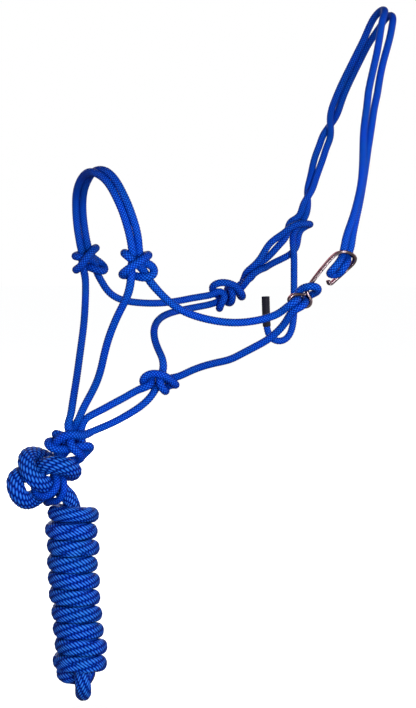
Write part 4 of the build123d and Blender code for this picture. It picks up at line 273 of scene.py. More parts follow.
# LEAD is the lead rope, from its knot to the loose end below the hank.
LEAD = [
    (-305.84, 17, -410.85), (-308.68, 16.29, -409.91), (-311.85, 15.02, -409.73), (-315.79, 12.93, -410.49),
    (-322.43, 8.6, -413.08), (-327.08, 5.27, -414.46), (-330.86, 2.34, -414.43), (-334.12, -0.16, -413.22),
    (-336.82, -1.92, -411.19), (-338.98, -2.84, -408.58), (-340.56, -2.9, -405.62), (-341.49, -2.08, -402.56),
    (-341.65, -0.47, -399.67), (-340.98, 1.71, -397.21), (-339.4, 4.19, -395.31), (-336.86, 6.58, -394),
    (-333.55, 8.3, -393.21), (-329.97, 8.91, -392.61), (-326.37, 8.35, -391.88), (-323.26, 6.82, -390.84),
    (-320.84, 4.54, -389.34), (-318.55, 0.89, -387.13), (-316.18, -3.76, -384.95), (-313.86, -6.87, -383.93),
    (-311.01, -9.17, -383.54), (-307.67, -10.59, -383.74), (-304.09, -10.98, -384.48), (-300.54, -10.28, -385.68),
    (-297.2, -8.46, -387.3), (-294.42, -5.5, -389.21), (-292.72, -1.78, -391.07), (-292.24, 2.35, -392.56),
    (-292.92, 6.76, -393.44), (-294.58, 10.94, -393.41), (-297.03, 14.6, -392.39), (-300.31, 17.71, -390.41),
    (-304.27, 19.84, -387.73), (-308.4, 20.51, -384.98), (-312.76, 19.74, -382.39), (-317.68, 17.43, -379.95),
    (-322.94, 13.52, -378.14), (-326.55, 9.91, -377.67), (-329.08, 6.59, -378.22), (-330.89, 3.16, -379.8),
    (-331.85, -0.29, -382.35), (-331.77, -3.38, -385.63), (-330.59, -5.74, -389.15), (-328.52, -7.18, -392.49),
    (-325.76, -7.61, -395.44), (-322.56, -7, -397.84), (-318.9, -5.28, -399.85), (-313.29, -1.27, -402.37),
    (-308.11, 1.96, -404.37), (-304.06, 3.38, -406.3), (-300.41, 3.63, -408.72), (-297.33, 2.83, -411.74),
    (-295.07, 1.15, -415.32), (-293.71, -1.29, -419.8), (-293.51, -4.19, -425.93), (-294.36, -6.31, -433.85),
    (-294.95, -7, -444.46), (-294.58, -6.46, -458.1), (-294.6, -6.46, -470.93), (-293.78, -6.81, -484.61),
    (-293.41, -6.84, -497.18), (-292, -7.54, -508.45), (-290.93, -7.9, -522.34), (-289.47, -8.6, -534.39),
    (-288.81, -9.16, -544.66), (-288.96, -10.45, -552.4), (-289.35, -13.24, -558.99), (-289.53, -15.62, -563.96),
    (-289.46, -16.55, -568.19), (-289.16, -16.18, -572.41), (-288.63, -14.55, -576.31), (-287.87, -11.82, -579.52),
    (-286.92, -8.23, -581.73), (-285.86, -4.1, -582.75), (-284.85, 0.04, -582.46), (-283.99, 3.82, -580.92),
    (-283.39, 6.98, -578.27), (-283.11, 9.23, -574.74), (-283.15, 10.39, -570.57), (-283.45, 10.34, -566.35),
    (-283.95, 9.09, -562.31), (-284.93, 6.44, -556.36), (-285.77, 4.85, -549.63), (-286.55, 4.74, -539.99),
    (-287.69, 5.55, -526.1), (-288.83, 5.9, -512.18), (-289.99, 6.6, -498.29), (-291.11, 6.79, -484.37),
    (-291.55, 7, -473.66), (-291.4, 7.13, -460.42), (-291.94, 6.65, -449.1), (-291.23, 6.66, -442.51),
    (-290.66, 7.34, -438.13), (-290.91, 8.27, -434.9), (-292.05, 9.4, -432.1), (-294.08, 10.36, -429.86),
    (-296.79, 10.79, -428.25), (-299.8, 10.39, -427.28), (-302.67, 9.06, -426.82), (-305.09, 6.84, -426.7),
    (-306.88, 3.76, -426.66), (-307.87, -0.21, -426.45), (-307.78, -5.05, -425.95), (-306.34, -10.03, -425.33),
    (-303.98, -13.89, -424.94), (-300.9, -16.69, -424.8), (-297.26, -18.39, -424.88), (-293.3, -18.88, -425.16),
    (-289.34, -18.11, -425.59), (-285.61, -16.12, -426.16), (-282.19, -12.8, -426.93), (-279, -7.64, -428.09),
    (-276.27, 0.09, -430.05), (-275.51, 6.32, -431.77), (-276.16, 11.23, -433.14), (-277.99, 15.36, -434.35),
    (-280.9, 18.64, -435.49), (-284.67, 20.84, -436.63), (-288.91, 21.77, -437.86), (-293.19, 21.33, -439.14),
    (-297.31, 19.59, -440.31), (-301.88, 16.14, -441.32), (-305.87, 11.27, -441.64), (-308.66, 5.42, -441.19),
    (-309.94, -1.18, -440.32), (-309.54, -7.23, -439.51), (-307.85, -12.23, -438.94), (-305.28, -16.02, -438.64),
    (-301.97, -18.76, -438.56), (-298.01, -20.36, -438.68), (-293.73, -20.68, -438.97), (-289.58, -19.68, -439.42),
    (-286.05, -17.55, -439.98), (-283.34, -14.49, -440.63), (-280.94, -9.82, -441.63), (-278.47, -1.28, -443.84),
    (-277.73, 5.3, -445.74), (-278.3, 9.85, -447.12), (-280.14, 13.99, -448.55), (-283.2, 17.58, -450.11),
    (-286.85, 19.89, -451.58), (-290.76, 20.91, -452.89), (-294.76, 20.66, -454.03), (-298.54, 19.15, -454.91),
    (-301.82, 16.5, -455.46), (-304.43, 12.8, -455.63), (-306.64, 7.38, -455.31), (-308.45, -1.29, -454.21),
    (-308.54, -7.37, -453.41), (-307.57, -11.7, -452.95), (-305.54, -15.36, -452.66), (-302.48, -18.24, -452.55),
    (-298.69, -20.04, -452.62), (-294.54, -20.6, -452.89), (-290.28, -19.87, -453.34), (-286.35, -17.86, -453.97),
    (-282.86, -14.57, -454.77), (-279.51, -9.34, -456.01), (-276.78, -1.81, -458.03), (-275.96, 4.79, -459.9),
    (-276.66, 10.06, -461.44), (-278.53, 14.36, -462.86), (-281.46, 17.73, -464.28), (-285.26, 20.01, -465.71),
    (-289.65, 21.02, -467.04), (-294.23, 20.67, -468.16), (-298.13, 19.19, -468.92), (-301.35, 16.72, -469.37),
    (-304.02, 13.15, -469.55), (-306.57, 7.5, -469.29), (-308.49, -0.65, -468.32), (-308.63, -6.69, -467.5),
    (-307.65, -11.11, -466.96), (-305.63, -14.79, -466.61), (-302.57, -17.69, -466.45), (-298.77, -19.54, -466.53),
    (-294.59, -20.15, -466.83), (-290.34, -19.48, -467.33), (-286.55, -17.61, -467.98), (-283.56, -14.7, -468.77),
    (-281.26, -10.71, -469.77), (-278.89, -3.34, -471.78), (-277.67, 4.88, -474.28), (-277.98, 9.59, -475.88),
    (-279.48, 13.67, -477.42), (-282.09, 17.03, -478.91), (-285.63, 19.43, -480.25), (-289.58, 20.61, -481.38),
    (-293.73, 20.5, -482.3), (-297.71, 19.1, -483), (-301.04, 16.62, -483.4), (-303.63, 13.19, -483.52),
    (-305.96, 7.9, -483.28), (-307.8, -0.54, -482.35), (-307.97, -7.01, -481.46), (-307.07, -11.39, -480.9),
    (-305.11, -15.1, -480.54), (-302.09, -18.07, -480.39), (-298.28, -20, -480.49), (-294.08, -20.69, -480.82),
    (-289.9, -20.07, -481.33), (-285.99, -18.19, -482.02), (-282.46, -15, -482.93), (-279.51, -10.41, -484.2),
    (-277.05, -3.35, -486.22), (-276.15, 4.16, -488.58), (-276.84, 9.74, -490.45), (-278.54, 13.91, -491.92),
    (-281.14, 17.1, -493.21), (-284.65, 19.35, -494.41), (-288.72, 20.45, -495.46), (-292.9, 20.26, -496.29),
    (-296.83, 18.8, -496.91), (-300.14, 16.23, -497.28), (-302.92, 12.49, -497.4), (-305.52, 6.57, -497.12),
    (-307.37, -1.72, -496.17), (-307.45, -7.54, -495.36), (-306.47, -11.75, -494.82), (-304.34, -15.45, -494.46),
    (-301.17, -18.34, -494.35), (-297.29, -20.15, -494.52), (-293.05, -20.69, -494.93), (-288.94, -19.93, -495.53),
    (-285.16, -17.94, -496.27), (-281.88, -14.72, -497.25), (-279.34, -10.32, -498.57), (-276.64, -2.03, -501.18),
    (-275.64, 4.94, -503.44), (-276.08, 9.59, -504.93), (-277.69, 13.57, -506.31), (-280.3, 16.7, -507.62),
    (-283.78, 18.85, -508.93), (-287.89, 19.82, -510.21), (-292.1, 19.48, -511.37), (-295.96, 17.88, -512.29),
    (-299.18, 15.16, -512.92), (-301.54, 11.55, -513.17), (-303.65, 6.06, -512.92), (-305.54, -2.7, -511.59),
    (-305.72, -8.42, -510.49), (-304.85, -12.52, -509.74), (-302.93, -16.02, -509.17), (-299.9, -18.98, -508.81),
    (-296.11, -20.98, -508.77), (-292.02, -21.75, -509.03), (-287.94, -21.24, -509.53), (-284.24, -19.51, -510.22),
    (-281.03, -16.63, -511.14), (-278.35, -12.43, -512.43), (-275.83, -5.37, -514.68), (-274.37, 3.18, -517.35),
    (-274.58, 8.13, -518.93), (-276.01, 12.35, -520.49), (-278.38, 15.65, -521.98), (-281.6, 17.99, -523.45),
    (-285.58, 19.27, -524.88), (-289.65, 19.32, -526.1), (-293.58, 18.1, -527.09), (-296.95, 15.78, -527.7),
    (-299.58, 12.54, -527.9), (-301.87, 7.84, -527.6), (-304.11, -0.23, -526.24), (-304.79, -7.06, -524.83),
    (-304.2, -11.6, -523.97), (-302.59, -15.37, -523.35), (-299.89, -18.5, -522.95), (-296.36, -20.67, -522.82),
    (-292.32, -21.7, -523.01), (-288.02, -21.53, -523.53), (-284.09, -20.15, -524.27), (-280.63, -17.6, -525.24),
    (-277.79, -13.87, -526.52), (-275.37, -8.17, -528.36), (-273.4, 0.86, -531.15), (-273.31, 6.44, -532.91),
    (-274.28, 10.49, -534.33), (-276.47, 14.08, -535.84), (-279.59, 16.77, -537.3), (-283.33, 18.31, -538.64),
    (-287.47, 18.61, -539.88), (-291.58, 17.64, -540.88), (-295.16, 15.53, -541.54), (-298, 12.42, -541.81),
    (-300.25, 8.18, -541.66), (-302.29, 1.37, -540.69), (-303.21, -6.69, -538.99), (-302.73, -11.66, -537.99),
    (-301.3, -15.54, -537.32), (-298.68, -19.06, -536.87), (-295.09, -21.79, -536.75), (-291.04, -23.31, -536.98),
    (-286.82, -23.56, -537.47), (-282.74, -22.5, -538.14), (-279.09, -20.23, -539.02), (-275.97, -16.73, -540.17),
    (-273.43, -11.67, -541.73), (-271.66, -4.09, -544.07), (-271.55, 4.2, -546.7), (-272.89, 10.11, -548.68),
    (-275.24, 14.53, -550.27), (-278.26, 17.65, -551.56), (-281.6, 19.53, -552.62), (-285.34, 20.25, -553.57),
    (-289.2, 19.73, -554.42), (-293.03, 18, -555.14), (-297.1, 14.72, -555.63), (-300.84, 9.84, -555.61),
    (-303.55, 3.64, -554.95), (-304.7, -3.4, -553.76), (-304.03, -10.26, -552.42), (-302.02, -15.79, -551.35),
    (-299.32, -19.74, -550.77), (-295.9, -22.63, -550.61), (-292.08, -24.34, -550.81), (-287.96, -24.82, -551.27),
    (-283.91, -24.01, -551.91), (-280.3, -21.98, -552.75), (-277.45, -18.94, -553.8), (-274.93, -14.31, -555.33),
    (-271.81, -4.45, -558.55), (-269.89, 5.82, -561.54), (-269.93, 11.73, -562.88), (-270.99, 15.91, -563.74),
    (-273.09, 19.41, -564.55), (-276.25, 22.16, -565.4), (-280.16, 23.83, -566.29), (-284.5, 24.23, -567.18),
    (-288.96, 23.27, -568.04), (-292.96, 21.04, -568.76), (-295.95, 17.95, -569.26), (-297.8, 14.34, -569.53),
    (-298.46, 10.49, -569.6), (-297.88, 6.65, -569.51), (-296.13, 3.17, -569.31), (-293.29, 0.25, -569.05),
    (-289.3, -2.05, -568.83), (-284.53, -3.57, -568.84), (-281.56, -4.56, -569.3), (-279.26, -5.85, -570.26),
]

# Lengths of cord that bend between two bodies, and the slack left where a bend meets its run.
END_BEND, HOOK_BEND, NOSE_BEND, ROOT_BEND, TURN_BEND = 21, 19, 24, 15, 17
BEND_SLACK = 1
REST = None

# Runs of the cord in order: chord place of the run's end, the CAD node it replaces, and its
# pieces as (name, length, body) or, for a bend, (name, length, first body, second body).
CORD_RUNS = [
    (134.9, "tail_cord", [
        ("tail_cord", REST, "tail"), ("tail_cord_top", END_BEND, "tail", "halter")]),
    (184.5, "crown_tie", [("crown_tie_a", REST, "halter")]),
    (616.9, "crown_cord_inner", [
        ("crown_inner_root", ROOT_BEND, "halter", "hook"),
        ("crown_inner_turn", TURN_BEND, "hook", "crown"),
        ("crown_inner", REST, "crown"),
        ("crown_inner_end", HOOK_BEND, "crown", "hook")]),
    (693.0, "crown_bight", [("crown_bight", REST, "hook")]),
    (1131.9, "crown_cord_outer", [
        ("crown_outer_end", HOOK_BEND, "hook", "crown"),
        ("crown_outer", REST, "crown"),
        ("crown_outer_turn", TURN_BEND, "crown", "hook"),
        ("crown_outer_root", ROOT_BEND, "hook", "halter")]),
    (1170.0, "crown_tie", [("crown_tie_b", REST, "halter")]),
    (1224.7, "far_loop", [("far_loop_b", REST, "halter")]),
    (1263.1, "far_cheek_knot", [("far_cheek_knot_b", REST, "halter")]),
    (1390.2, "far_throat_cord", [("far_throat_cord", REST, "halter")]),
    (1424.2, "throat_knot", [("throat_knot_a", REST, "halter")]),
    (1487.7, "fiador_lower_cord", [
        ("fiador_lower_cord", REST, "halter"),
        ("fiador_lower_end", END_BEND, "halter", "fiador")]),
    (1542.3, "fiador_knot", [("fiador_knot_a", REST, "fiador")]),
    (1661.9, "fiador_loop_outer", [("fiador_loop_outer", REST, "fiador")]),
    (1762.3, "fiador_knot", [("fiador_knot_b", REST, "fiador")]),
    (1888.0, "near_chin_cord", [
        ("near_chin_end", END_BEND, "fiador", "halter"), ("near_chin_cord", REST, "halter")]),
    (1936.7, "near_nose_knot", [("near_nose_knot_a", REST, "halter")]),
    (2119.9, "noseband_cord_front", [
        ("noseband_front_near", NOSE_BEND, "halter", "noseband"),
        ("noseband_front", REST, "noseband"),
        ("noseband_front_far", NOSE_BEND, "noseband", "halter")]),
    (2161.3, "far_nose_knot", [("far_nose_knot_a", REST, "halter")]),
    (2292.9, "far_chin_cord", [
        ("far_chin_cord", REST, "halter"), ("far_chin_end", END_BEND, "halter", "fiador")]),
    (2343.1, "fiador_knot", [("fiador_knot_c", REST, "fiador")]),
    (2456.7, "fiador_loop_inner", [("fiador_loop_inner", REST, "fiador")]),
    (2533.3, "fiador_knot", [("fiador_knot_d", REST, "fiador")]),
    (2589.5, "fiador_upper_cord", [
        ("fiador_upper_end", END_BEND, "fiador", "halter"),
        ("fiador_upper_cord", REST, "halter")]),
    (2745.7, "throat_knot", [("throat_knot_b", REST, "halter")]),
    (2856.7, "near_throat_cord", [
        ("near_throat_cord", REST, "halter"), ("near_throat_end", HOOK_BEND, "halter", "hook")]),
    (2974.4, "near_loop", [("near_loop", REST, "hook")]),
    (3085.5, "near_cheek_cord", [
        ("near_cheek_end", HOOK_BEND, "hook", "halter"), ("near_cheek_cord", REST, "halter")]),
    (3262.7, "near_nose_knot", [("near_nose_knot_b", REST, "halter")]),
    (3451.8, "noseband_cord_rear", [
        ("noseband_rear_near", NOSE_BEND, "halter", "noseband"),
        ("noseband_rear", REST, "noseband"),
        ("noseband_rear_far", NOSE_BEND, "noseband", "halter")]),
    (3630.4, "far_nose_knot", [("far_nose_knot_b", REST, "halter")]),
    (3745.7, "far_cheek_cord", [("far_cheek_cord", REST, "halter")]),
    (3930.2, "far_cheek_knot", [("far_cheek_knot_a", REST, "halter")]),
    (3989.3, "far_loop", [("far_loop_a", REST, "halter")]),
    (4055.7, "crown_tie", [("crown_tie_c", REST, "halter")]),
    (4131.0, "far_loop", [("far_loop_c", REST, "halter")]),
    (4143.5, "far_cheek_knot", [("far_cheek_knot_c", REST, "halter")]),
]
CORD_STARTS = [0.0] + [run[0] for run in CORD_RUNS[:-1]]
CORD_CAPS = {"tail_cord": "start", "far_cheek_knot_c": "end"}

# Cords side by side that touch: first span, second span, centre distance, reach, taper.
TOUCHING = [
    ((1940.0, 2116.0), (3266.0, 3448.0), 6.25, 1.6, 22.0),  # noseband
    ((470.0, 612.0), (698.0, 840.0), 6.25, 1.3, 22.0),  # crown, near side
    ((272.0, 374.0), (941.0, 1048.0), 6.3, 2.9, 26.0),  # crown, far side
    ((196.0, 264.0), (1054.0, 1121.0), 6.3, 2.2, 18.0),  # crown, by the tie
    ((618.0, 652.0), (658.0, 692.0), 6.1, 3.0, 8.0),  # the two halves of the bight
]

# Chord places where the parts of the lead rope end.
KNOT_END, NECK_END, CORE_FRONT_END, END_LOOP_END = 241.2, 253.0, 398.3, 451.5
CORE_REAR_END, WRAPS_END, LEAD_END = 587.9, 1792.9, 1826.9

# ------------------------------------------------------------------ materials


def feed(tree, node, inputs):
    """Links or sets each named input of a node."""
    for socket, value in inputs.items():
        if isinstance(value, bpy.types.NodeSocket):
            tree.links.new(value, node.inputs[socket])
        else:
            node.inputs[socket].default_value = value


def add_node(tree, kind, inputs=None, **settings):
    node = tree.nodes.new("ShaderNode" + kind)
    for setting, value in settings.items():
        setattr(node, setting, value)
    feed(tree, node, inputs or {})
    return node


def new_material(name):
    """Returns a material, its node tree and its principled shader."""
    material = bpy.data.materials.new(name)
    material.use_nodes = True
    tree = material.node_tree
    tree.nodes.clear()
    output = add_node(tree, "OutputMaterial")
    shader = add_node(tree, "BsdfPrincipled")
    feed(tree, output, {"Surface": shader.outputs["BSDF"]})
    return material, tree, shader


def calc(tree, operation, first, second, clamp=False):
    node = add_node(tree, "Math", {0: first, 1: second}, operation=operation, use_clamp=clamp)
    return node.outputs[0]


def noise(tree, scale, detail=2.0, vector=None):
    node = add_node(tree, "TexNoise", {"Scale": scale, "Detail": detail})
    if vector:
        feed(tree, node, {"Vector": vector})
    return node.outputs["Fac"]


def colour_ramp(tree, factor, stops):
    """A colour ramp through (position, colour) stops in rising order."""
    node = add_node(tree, "ValToRGB", {"Fac": factor})
    elements = node.color_ramp.elements
    for element, (position, colour) in zip(list(elements), (stops[0], stops[-1])):
        element.position = position
        element.color = (*colour, 1)
    for position, colour in stops[1:-1]:
        elements.new(position).color = (*colour, 1)
    return node.outputs["Color"]


def paint_edge_shade(tree, colour, power, tint):
    """Paints shade: multiplies a colour by a dark tint where the surface is seen edge-on. Returns colour, edge."""
    facing = add_node(tree, "LayerWeight", {"Blend": 0.5})
    edge = calc(tree, "POWER", facing.outputs["Facing"], power)
    mix = add_node(tree, "Mix", data_type="RGBA", blend_type="MULTIPLY")
    feed(tree, mix, {"Factor": edge, "A": colour, "B": (*tint, 1)})
    return mix.outputs["Result"], edge


def bump(tree, height, strength, distance):
    node = add_node(tree, "Bump", {"Strength": strength, "Distance": distance, "Height": height})
    return node.outputs["Normal"]


def scaled_noise(tree, coordinates, scale, detail=2.0):
    """Noise stretched by a different scale on each axis."""
    mapping = add_node(tree, "Mapping", {"Scale": scale, "Vector": coordinates})
    return noise(tree, scale=1.0, detail=detail, vector=mapping.outputs["Vector"])


def rope_material(name, groove_shade, body, crown, seam, fibre_scale, bump_distance, roughness):
    """Braided yarn: painted shade in the seams, painted highlight on the yarn crowns, fine filaments along each
    yarn, faint soiling.
    """
    material, tree, shader = new_material(name)
    weave = add_node(tree, "Attribute", attribute_name="weave").outputs["Vector"]
    height, across, along = add_node(tree, "SeparateXYZ", {0: weave}).outputs
    # filaments: noise stretched along the yarn
    yarn = add_node(tree, "CombineXYZ", {0: calc(tree, "MULTIPLY", across, fibre_scale), 1: along})
    fibre = noise(tree, scale=1.0, vector=yarn.outputs[0])
    place = add_node(tree, "TexCoord").outputs["Object"]
    soiling = noise(tree, scale=42.0, detail=3.0, vector=place)
    centred = calc(tree, "SUBTRACT", fibre, 0.5)
    shifted = calc(tree, "ADD", height, calc(tree, "MULTIPLY", centred, 0.45), clamp=True)
    # painted shade and highlight: by the yarns' height, the colour runs from the groove colour (painted shade in
    # the seams) up to the crown colour (painted highlight on the yarn tops)
    colour = colour_ramp(tree, shifted, [(0.0, groove_shade), (seam, groove_shade), (0.62, body), (1.0, crown)])
    soiled = add_node(tree, "HueSaturation", {
        "Color": colour,
        "Value": calc(tree, "ADD", calc(tree, "MULTIPLY", soiling, 0.45), 0.78),
        "Hue": calc(tree, "ADD", calc(tree, "MULTIPLY", soiling, 0.02), 0.49),
    })
    # painted shade: yarns seen edge-on are darkened in their colour, and lose their gloss
    painted_dark_edges, edge = paint_edge_shade(tree, soiled.outputs["Color"], power=1.7, tint=(0.06, 0.08, 0.2))
    rough = calc(tree, "SUBTRACT", roughness, calc(tree, "MULTIPLY", fibre, 0.2))
    matt = calc(tree, "SUBTRACT", 1.0, edge, clamp=True)
    gloss = calc(tree, "MULTIPLY", calc(tree, "MULTIPLY", shifted, 0.5), matt)
    feed(tree, shader, {
        "Base Color": painted_dark_edges,
        "Roughness": rough,
        "Specular IOR Level": gloss,
        "Specular Tint": (0.3, 0.62, 1.0, 1),
        "Sheen Weight": 0.0,
        "Sheen Roughness": 0.4,
        "Sheen Tint": (0.25, 0.5, 1.0, 1),
        "Normal": bump(tree, fibre, strength=0.5, distance=bump_distance),
    })
    return material


def metal_material():
    """Polished flat wire with a warm cast, fine drawn lines and dull spots."""
    material, tree, shader = new_material("hook_polished_wire")
    place = add_node(tree, "TexCoord").outputs["Object"]
    drawn = scaled_noise(tree, place, scale=(220, 900, 220))
    dull = noise(tree, scale=160.0, detail=4.0, vector=place)
    colour = colour_ramp(tree, dull, [(0.35, (0.36, 0.24, 0.26)), (0.6, (0.56, 0.41, 0.43))])
    # painted reflection: the rounded edges of the wire are darkened in their colour, for the dark rope they would
    # mirror
    painted_dark_edges, _ = paint_edge_shade(tree, colour, power=1.3, tint=(0.16, 0.1, 0.12))
    feed(tree, shader, {
        "Base Color": painted_dark_edges,
        "Specular Tint": (0.35, 0.24, 0.26, 1),
        "Metallic": 1.0,
        "Roughness": calc(tree, "ADD", calc(tree, "MULTIPLY", dull, 0.1), 0.17),
        "Normal": bump(tree, drawn, strength=0.03, distance=0.00001),
    })
    return material


def sleeve_material():
    """Matt black film, with a faint blue cast and fine scuffs."""
    material, tree, shader = new_material("sleeve_heat_shrink")
    place = add_node(tree, "TexCoord").outputs["Object"]
    scuff = scaled_noise(tree, place, scale=(900, 900, 140), detail=5.0)
    stops = [(0.3, (0.007, 0.006, 0.012)), (0.75, (0.02, 0.018, 0.034))]
    feed(tree, shader, {
        "Base Color": colour_ramp(tree, scuff, stops),
        "Roughness": calc(tree, "ADD", calc(tree, "MULTIPLY", scuff, 0.25), 0.4),
        "Specular IOR Level": 0.3,
        "Normal": bump(tree, scuff, strength=0.4, distance=0.00006),
    })
    return material


def floor_material():
    """Pale floor that glows for the camera only."""
    material, tree, shader = new_material("pale_floor")
    stops = [(0.0, (0.90, 0.90, 0.90)), (1.0, (0.93, 0.93, 0.93))]
    camera_ray = add_node(tree, "LightPath").outputs["Is Camera Ray"]
    feed(tree, shader, {
        "Base Color": colour_ramp(tree, noise(tree, scale=3.0), stops),
        "Roughness": 0.9,
        "Specular IOR Level": 0.1,
        "Emission Color": (1, 1, 1, 1),
        "Emission Strength": calc(tree, "MULTIPLY", camera_ray, 0.9),
    })
    return material


# ------------------------------------------------------------------ rope curves


def end_taper(along, taper):
    """0 at both ends of a span, rising evenly to 1 over the taper length."""
    return np.clip(np.minimum(along - along[0], along[-1] - along) / taper, 0, 1)


def smoothstep(value):
    return value * value * (3 - 2 * value)


class Rope:
    """A smooth centre line with evenly spaced rings and frames that don't twist along it."""

    def __init__(self, points, spacing):
        self.points = np.array(points, float)
        self.gaps = np.linalg.norm(np.diff(self.points, axis=0), axis=1)
        self.knots = np.concatenate([[0], np.cumsum(self.gaps)])
        self.second = self.second_derivatives()
        total = self.knots[-1]
        fine = np.linspace(0, total, int(total / 0.1))
        steps = np.linalg.norm(np.diff(self.at(fine), axis=0), axis=1)
        fine_arc = np.concatenate([[0], np.cumsum(steps)])
        count = int(round(fine_arc[-1] / spacing))
        self.arc = np.linspace(0, fine_arc[-1], count + 1)
        self.places = np.interp(self.arc, fine_arc, fine)
        self.x = self.at(self.places)
        self.girth = np.ones(len(self.x))
        self.settle()

    def second_derivatives(self):
        """Solves the natural cubic spline's tridiagonal system."""
        gaps, count = self.gaps, len(self.points)
        below, above = np.zeros(count), np.zeros(count)
        diagonal = np.ones(count)
        right = np.zeros((count, 3))
        slopes = np.diff(self.points, axis=0) / gaps[:, None]
        below[1:-1], above[1:-1] = gaps[:-1], gaps[1:]
        diagonal[1:-1] = 2 * (gaps[:-1] + gaps[1:])
        right[1:-1] = 6 * (slopes[1:] - slopes[:-1])
        for i in range(1, count):
            factor = below[i] / diagonal[i - 1]
            diagonal[i] -= factor * above[i - 1]
            right[i] -= factor * right[i - 1]
        second = np.zeros((count, 3))
        second[-1] = right[-1] / diagonal[-1]
        for i in range(count - 2, -1, -1):
            second[i] = (right[i] - above[i] * second[i + 1]) / diagonal[i]
        return second

    def at(self, places):
        """Points of the spline at chord places."""
        places = np.asarray(places, float)
        i = np.searchsorted(self.knots, places, side="right") - 1
        i = np.clip(i, 0, len(self.gaps) - 1)
        gap = self.gaps[i][:, None]
        left = (self.knots[i + 1] - places)[:, None]
        done = (places - self.knots[i])[:, None]
        return (
            self.second[i] * left**3 / (6 * gap)
            + self.second[i + 1] * done**3 / (6 * gap)
            + (self.points[i] / gap - self.second[i] * gap / 6) * left
            + (self.points[i + 1] / gap - self.second[i + 1] * gap / 6) * done
        )

    def settle(self):
        """Works out the frames after the rings have moved."""
        tangent = np.gradient(self.x, axis=0)
        self.tangent = tangent / np.linalg.norm(tangent, axis=1)[:, None]
        self.normal = self.normals()
        self.binormal = np.cross(self.tangent, self.normal)

    def normals(self):
        """Carries one normal along the rope by double reflection."""
        x, tangent = self.x, self.tangent
        normal = np.zeros_like(x)
        first = np.cross(tangent[0], [0.3, 0.8, 0.52])
        normal[0] = first / np.linalg.norm(first)
        for i in range(len(x) - 1):
            step = x[i + 1] - x[i]
            square = step @ step
            moved = normal[i] - (2 / square) * (step @ normal[i]) * step
            turned = tangent[i] - (2 / square) * (step @ tangent[i]) * step
            swing = tangent[i + 1] - turned
            square = swing @ swing
            if square > 1e-14:
                moved = moved - (2 / square) * (swing @ moved) * swing
            normal[i + 1] = moved / np.linalg.norm(moved)
        return normal

    def snug(self, first, second, gap, reach, taper):
        """Draws two runs side by side together until they touch, by at most reach each."""
        spans = [self.rings(*span) for span in (first, second)]
        before = [self.x[span].copy() for span in spans]
        apart = np.linalg.norm(before[0][:, None, :] - before[1][None, :, :], axis=2)
        window = 31
        for k, nearest in ((0, apart.argmin(1)), (1, apart.argmin(0))):
            way = before[1 - k][nearest] - before[k]
            distance = np.linalg.norm(way, axis=1)
            ease = end_taper(self.arc[spans[k]], taper)
            step = np.clip((distance - gap) / 2, 0, reach) * smoothstep(ease)
            move = way / distance[:, None] * step[:, None]
            padded = np.pad(move, ((window // 2, window // 2), (0, 0)), mode="edge")
            kernel = np.ones(window) / window
            smooth = [np.convolve(padded[:, axis], kernel, mode="valid") for axis in range(3)]
            held = np.minimum(1, ease * 3)[:, None]
            self.x[spans[k]] = before[k] + np.stack(smooth, -1) * held

    def fatten(self, start, end, amount, taper=9.0):
        """Thickens a span by a share of its girth; a negative amount thins it."""
        span = self.rings(start, end)
        self.girth[span] *= 1 + amount * smoothstep(end_taper(self.arc[span], taper))

    def ring(self, place):
        """The ring nearest a chord place."""
        return int(np.argmin(np.abs(self.places - place)))

    def rings(self, start, end):
        return np.arange(self.ring(start), self.ring(end) + 1)

    def point(self, place):
        return Vector(self.at([place])[0] * MM)


class Braid(Rope):
    def __init__(self, points, spacing, segments, surface, material, slot):
        super().__init__(points, spacing)
        self.segments = segments
        self.surface = surface
        self.material = material
        self.slot = slot


# Braid sizes: radius at the seams, height of the yarns above them.
CORD_BASE, CORD_RELIEF = 2.95, 0.38
CORD_CARRIERS, CORD_PITCH = 7, 2.4
LEAD_BASE, LEAD_RELIEF = 6.25, 0.7
LEAD_COLUMNS, LEAD_STITCH, LEAD_LEAN_RADIUS = 17, 4.4, 6.8


def cord_surface(theta, rows):
    """Plain one-over-one braid of 7 + 7 carriers. Returns the radius, and the weave:
    height 0..1, place across the yarn and place along it."""
    arc = cord.arc[rows][:, None]
    right = CORD_CARRIERS * theta / (2 * np.pi) + arc / CORD_PITCH
    left = CORD_CARRIERS * theta / (2 * np.pi) - arc / CORD_PITCH
    right_lane, left_lane = np.floor(right), np.floor(left)
    in_right, in_left = 2 * (right - right_lane) - 1, 2 * (left - left_lane) - 1
    on_top = ((right_lane + left_lane) % 2) == 0
    across = np.where(on_top, in_right, in_left)
    along = np.where(on_top, in_left, in_right)
    height = np.clip(1 - np.abs(across) ** 2.2, 0, 1) ** 0.6 * np.cos(along * np.pi / 2) ** 0.8
    lane = np.where(on_top, right_lane, left_lane + 57.0)
    weave = np.stack([height, across, along * 0.5 + lane * 3.7], -1)
    return CORD_BASE + CORD_RELIEF * height, weave


def lead_turns(arc):
    """How far the stitch columns have wound round: they lean more where the rope is coiled."""
    lean = np.interp(arc, [0, 235, 262, 300, 600, 2200], [23, 26, 34, 34, 41, 41])
    rate = LEAD_COLUMNS * np.tan(np.radians(lean)) / (2 * np.pi * LEAD_LEAN_RADIUS)
    return np.concatenate([[0], np.cumsum(0.5 * (rate[1:] + rate[:-1]) * np.diff(arc))])


def lead_surface(theta, rows):
    """Solid braid: columns of long leaning stitches, each column stepped from the next."""
    column_place = LEAD_COLUMNS * theta / (2 * np.pi) - turns[rows][:, None]
    column = np.floor(column_place)
    across = 2 * (column_place - column) - 1
    stitch_place = lead.arc[rows][:, None] / LEAD_STITCH + column * 3 / 7
    stitch = np.floor(stitch_place)
    along = 2 * (stitch_place - stitch) - 1
    height = np.clip(1 - np.abs(across) ** 1.9, 0, 1) ** 0.75
    height = height * np.clip(1 - np.abs(along) ** 2.6, 0, 1) ** 0.75
    weave = np.stack([height, across, along * 2.0 + (column + 40 * stitch) * 2.3], -1)
    return LEAD_BASE + LEAD_RELIEF * height, weave
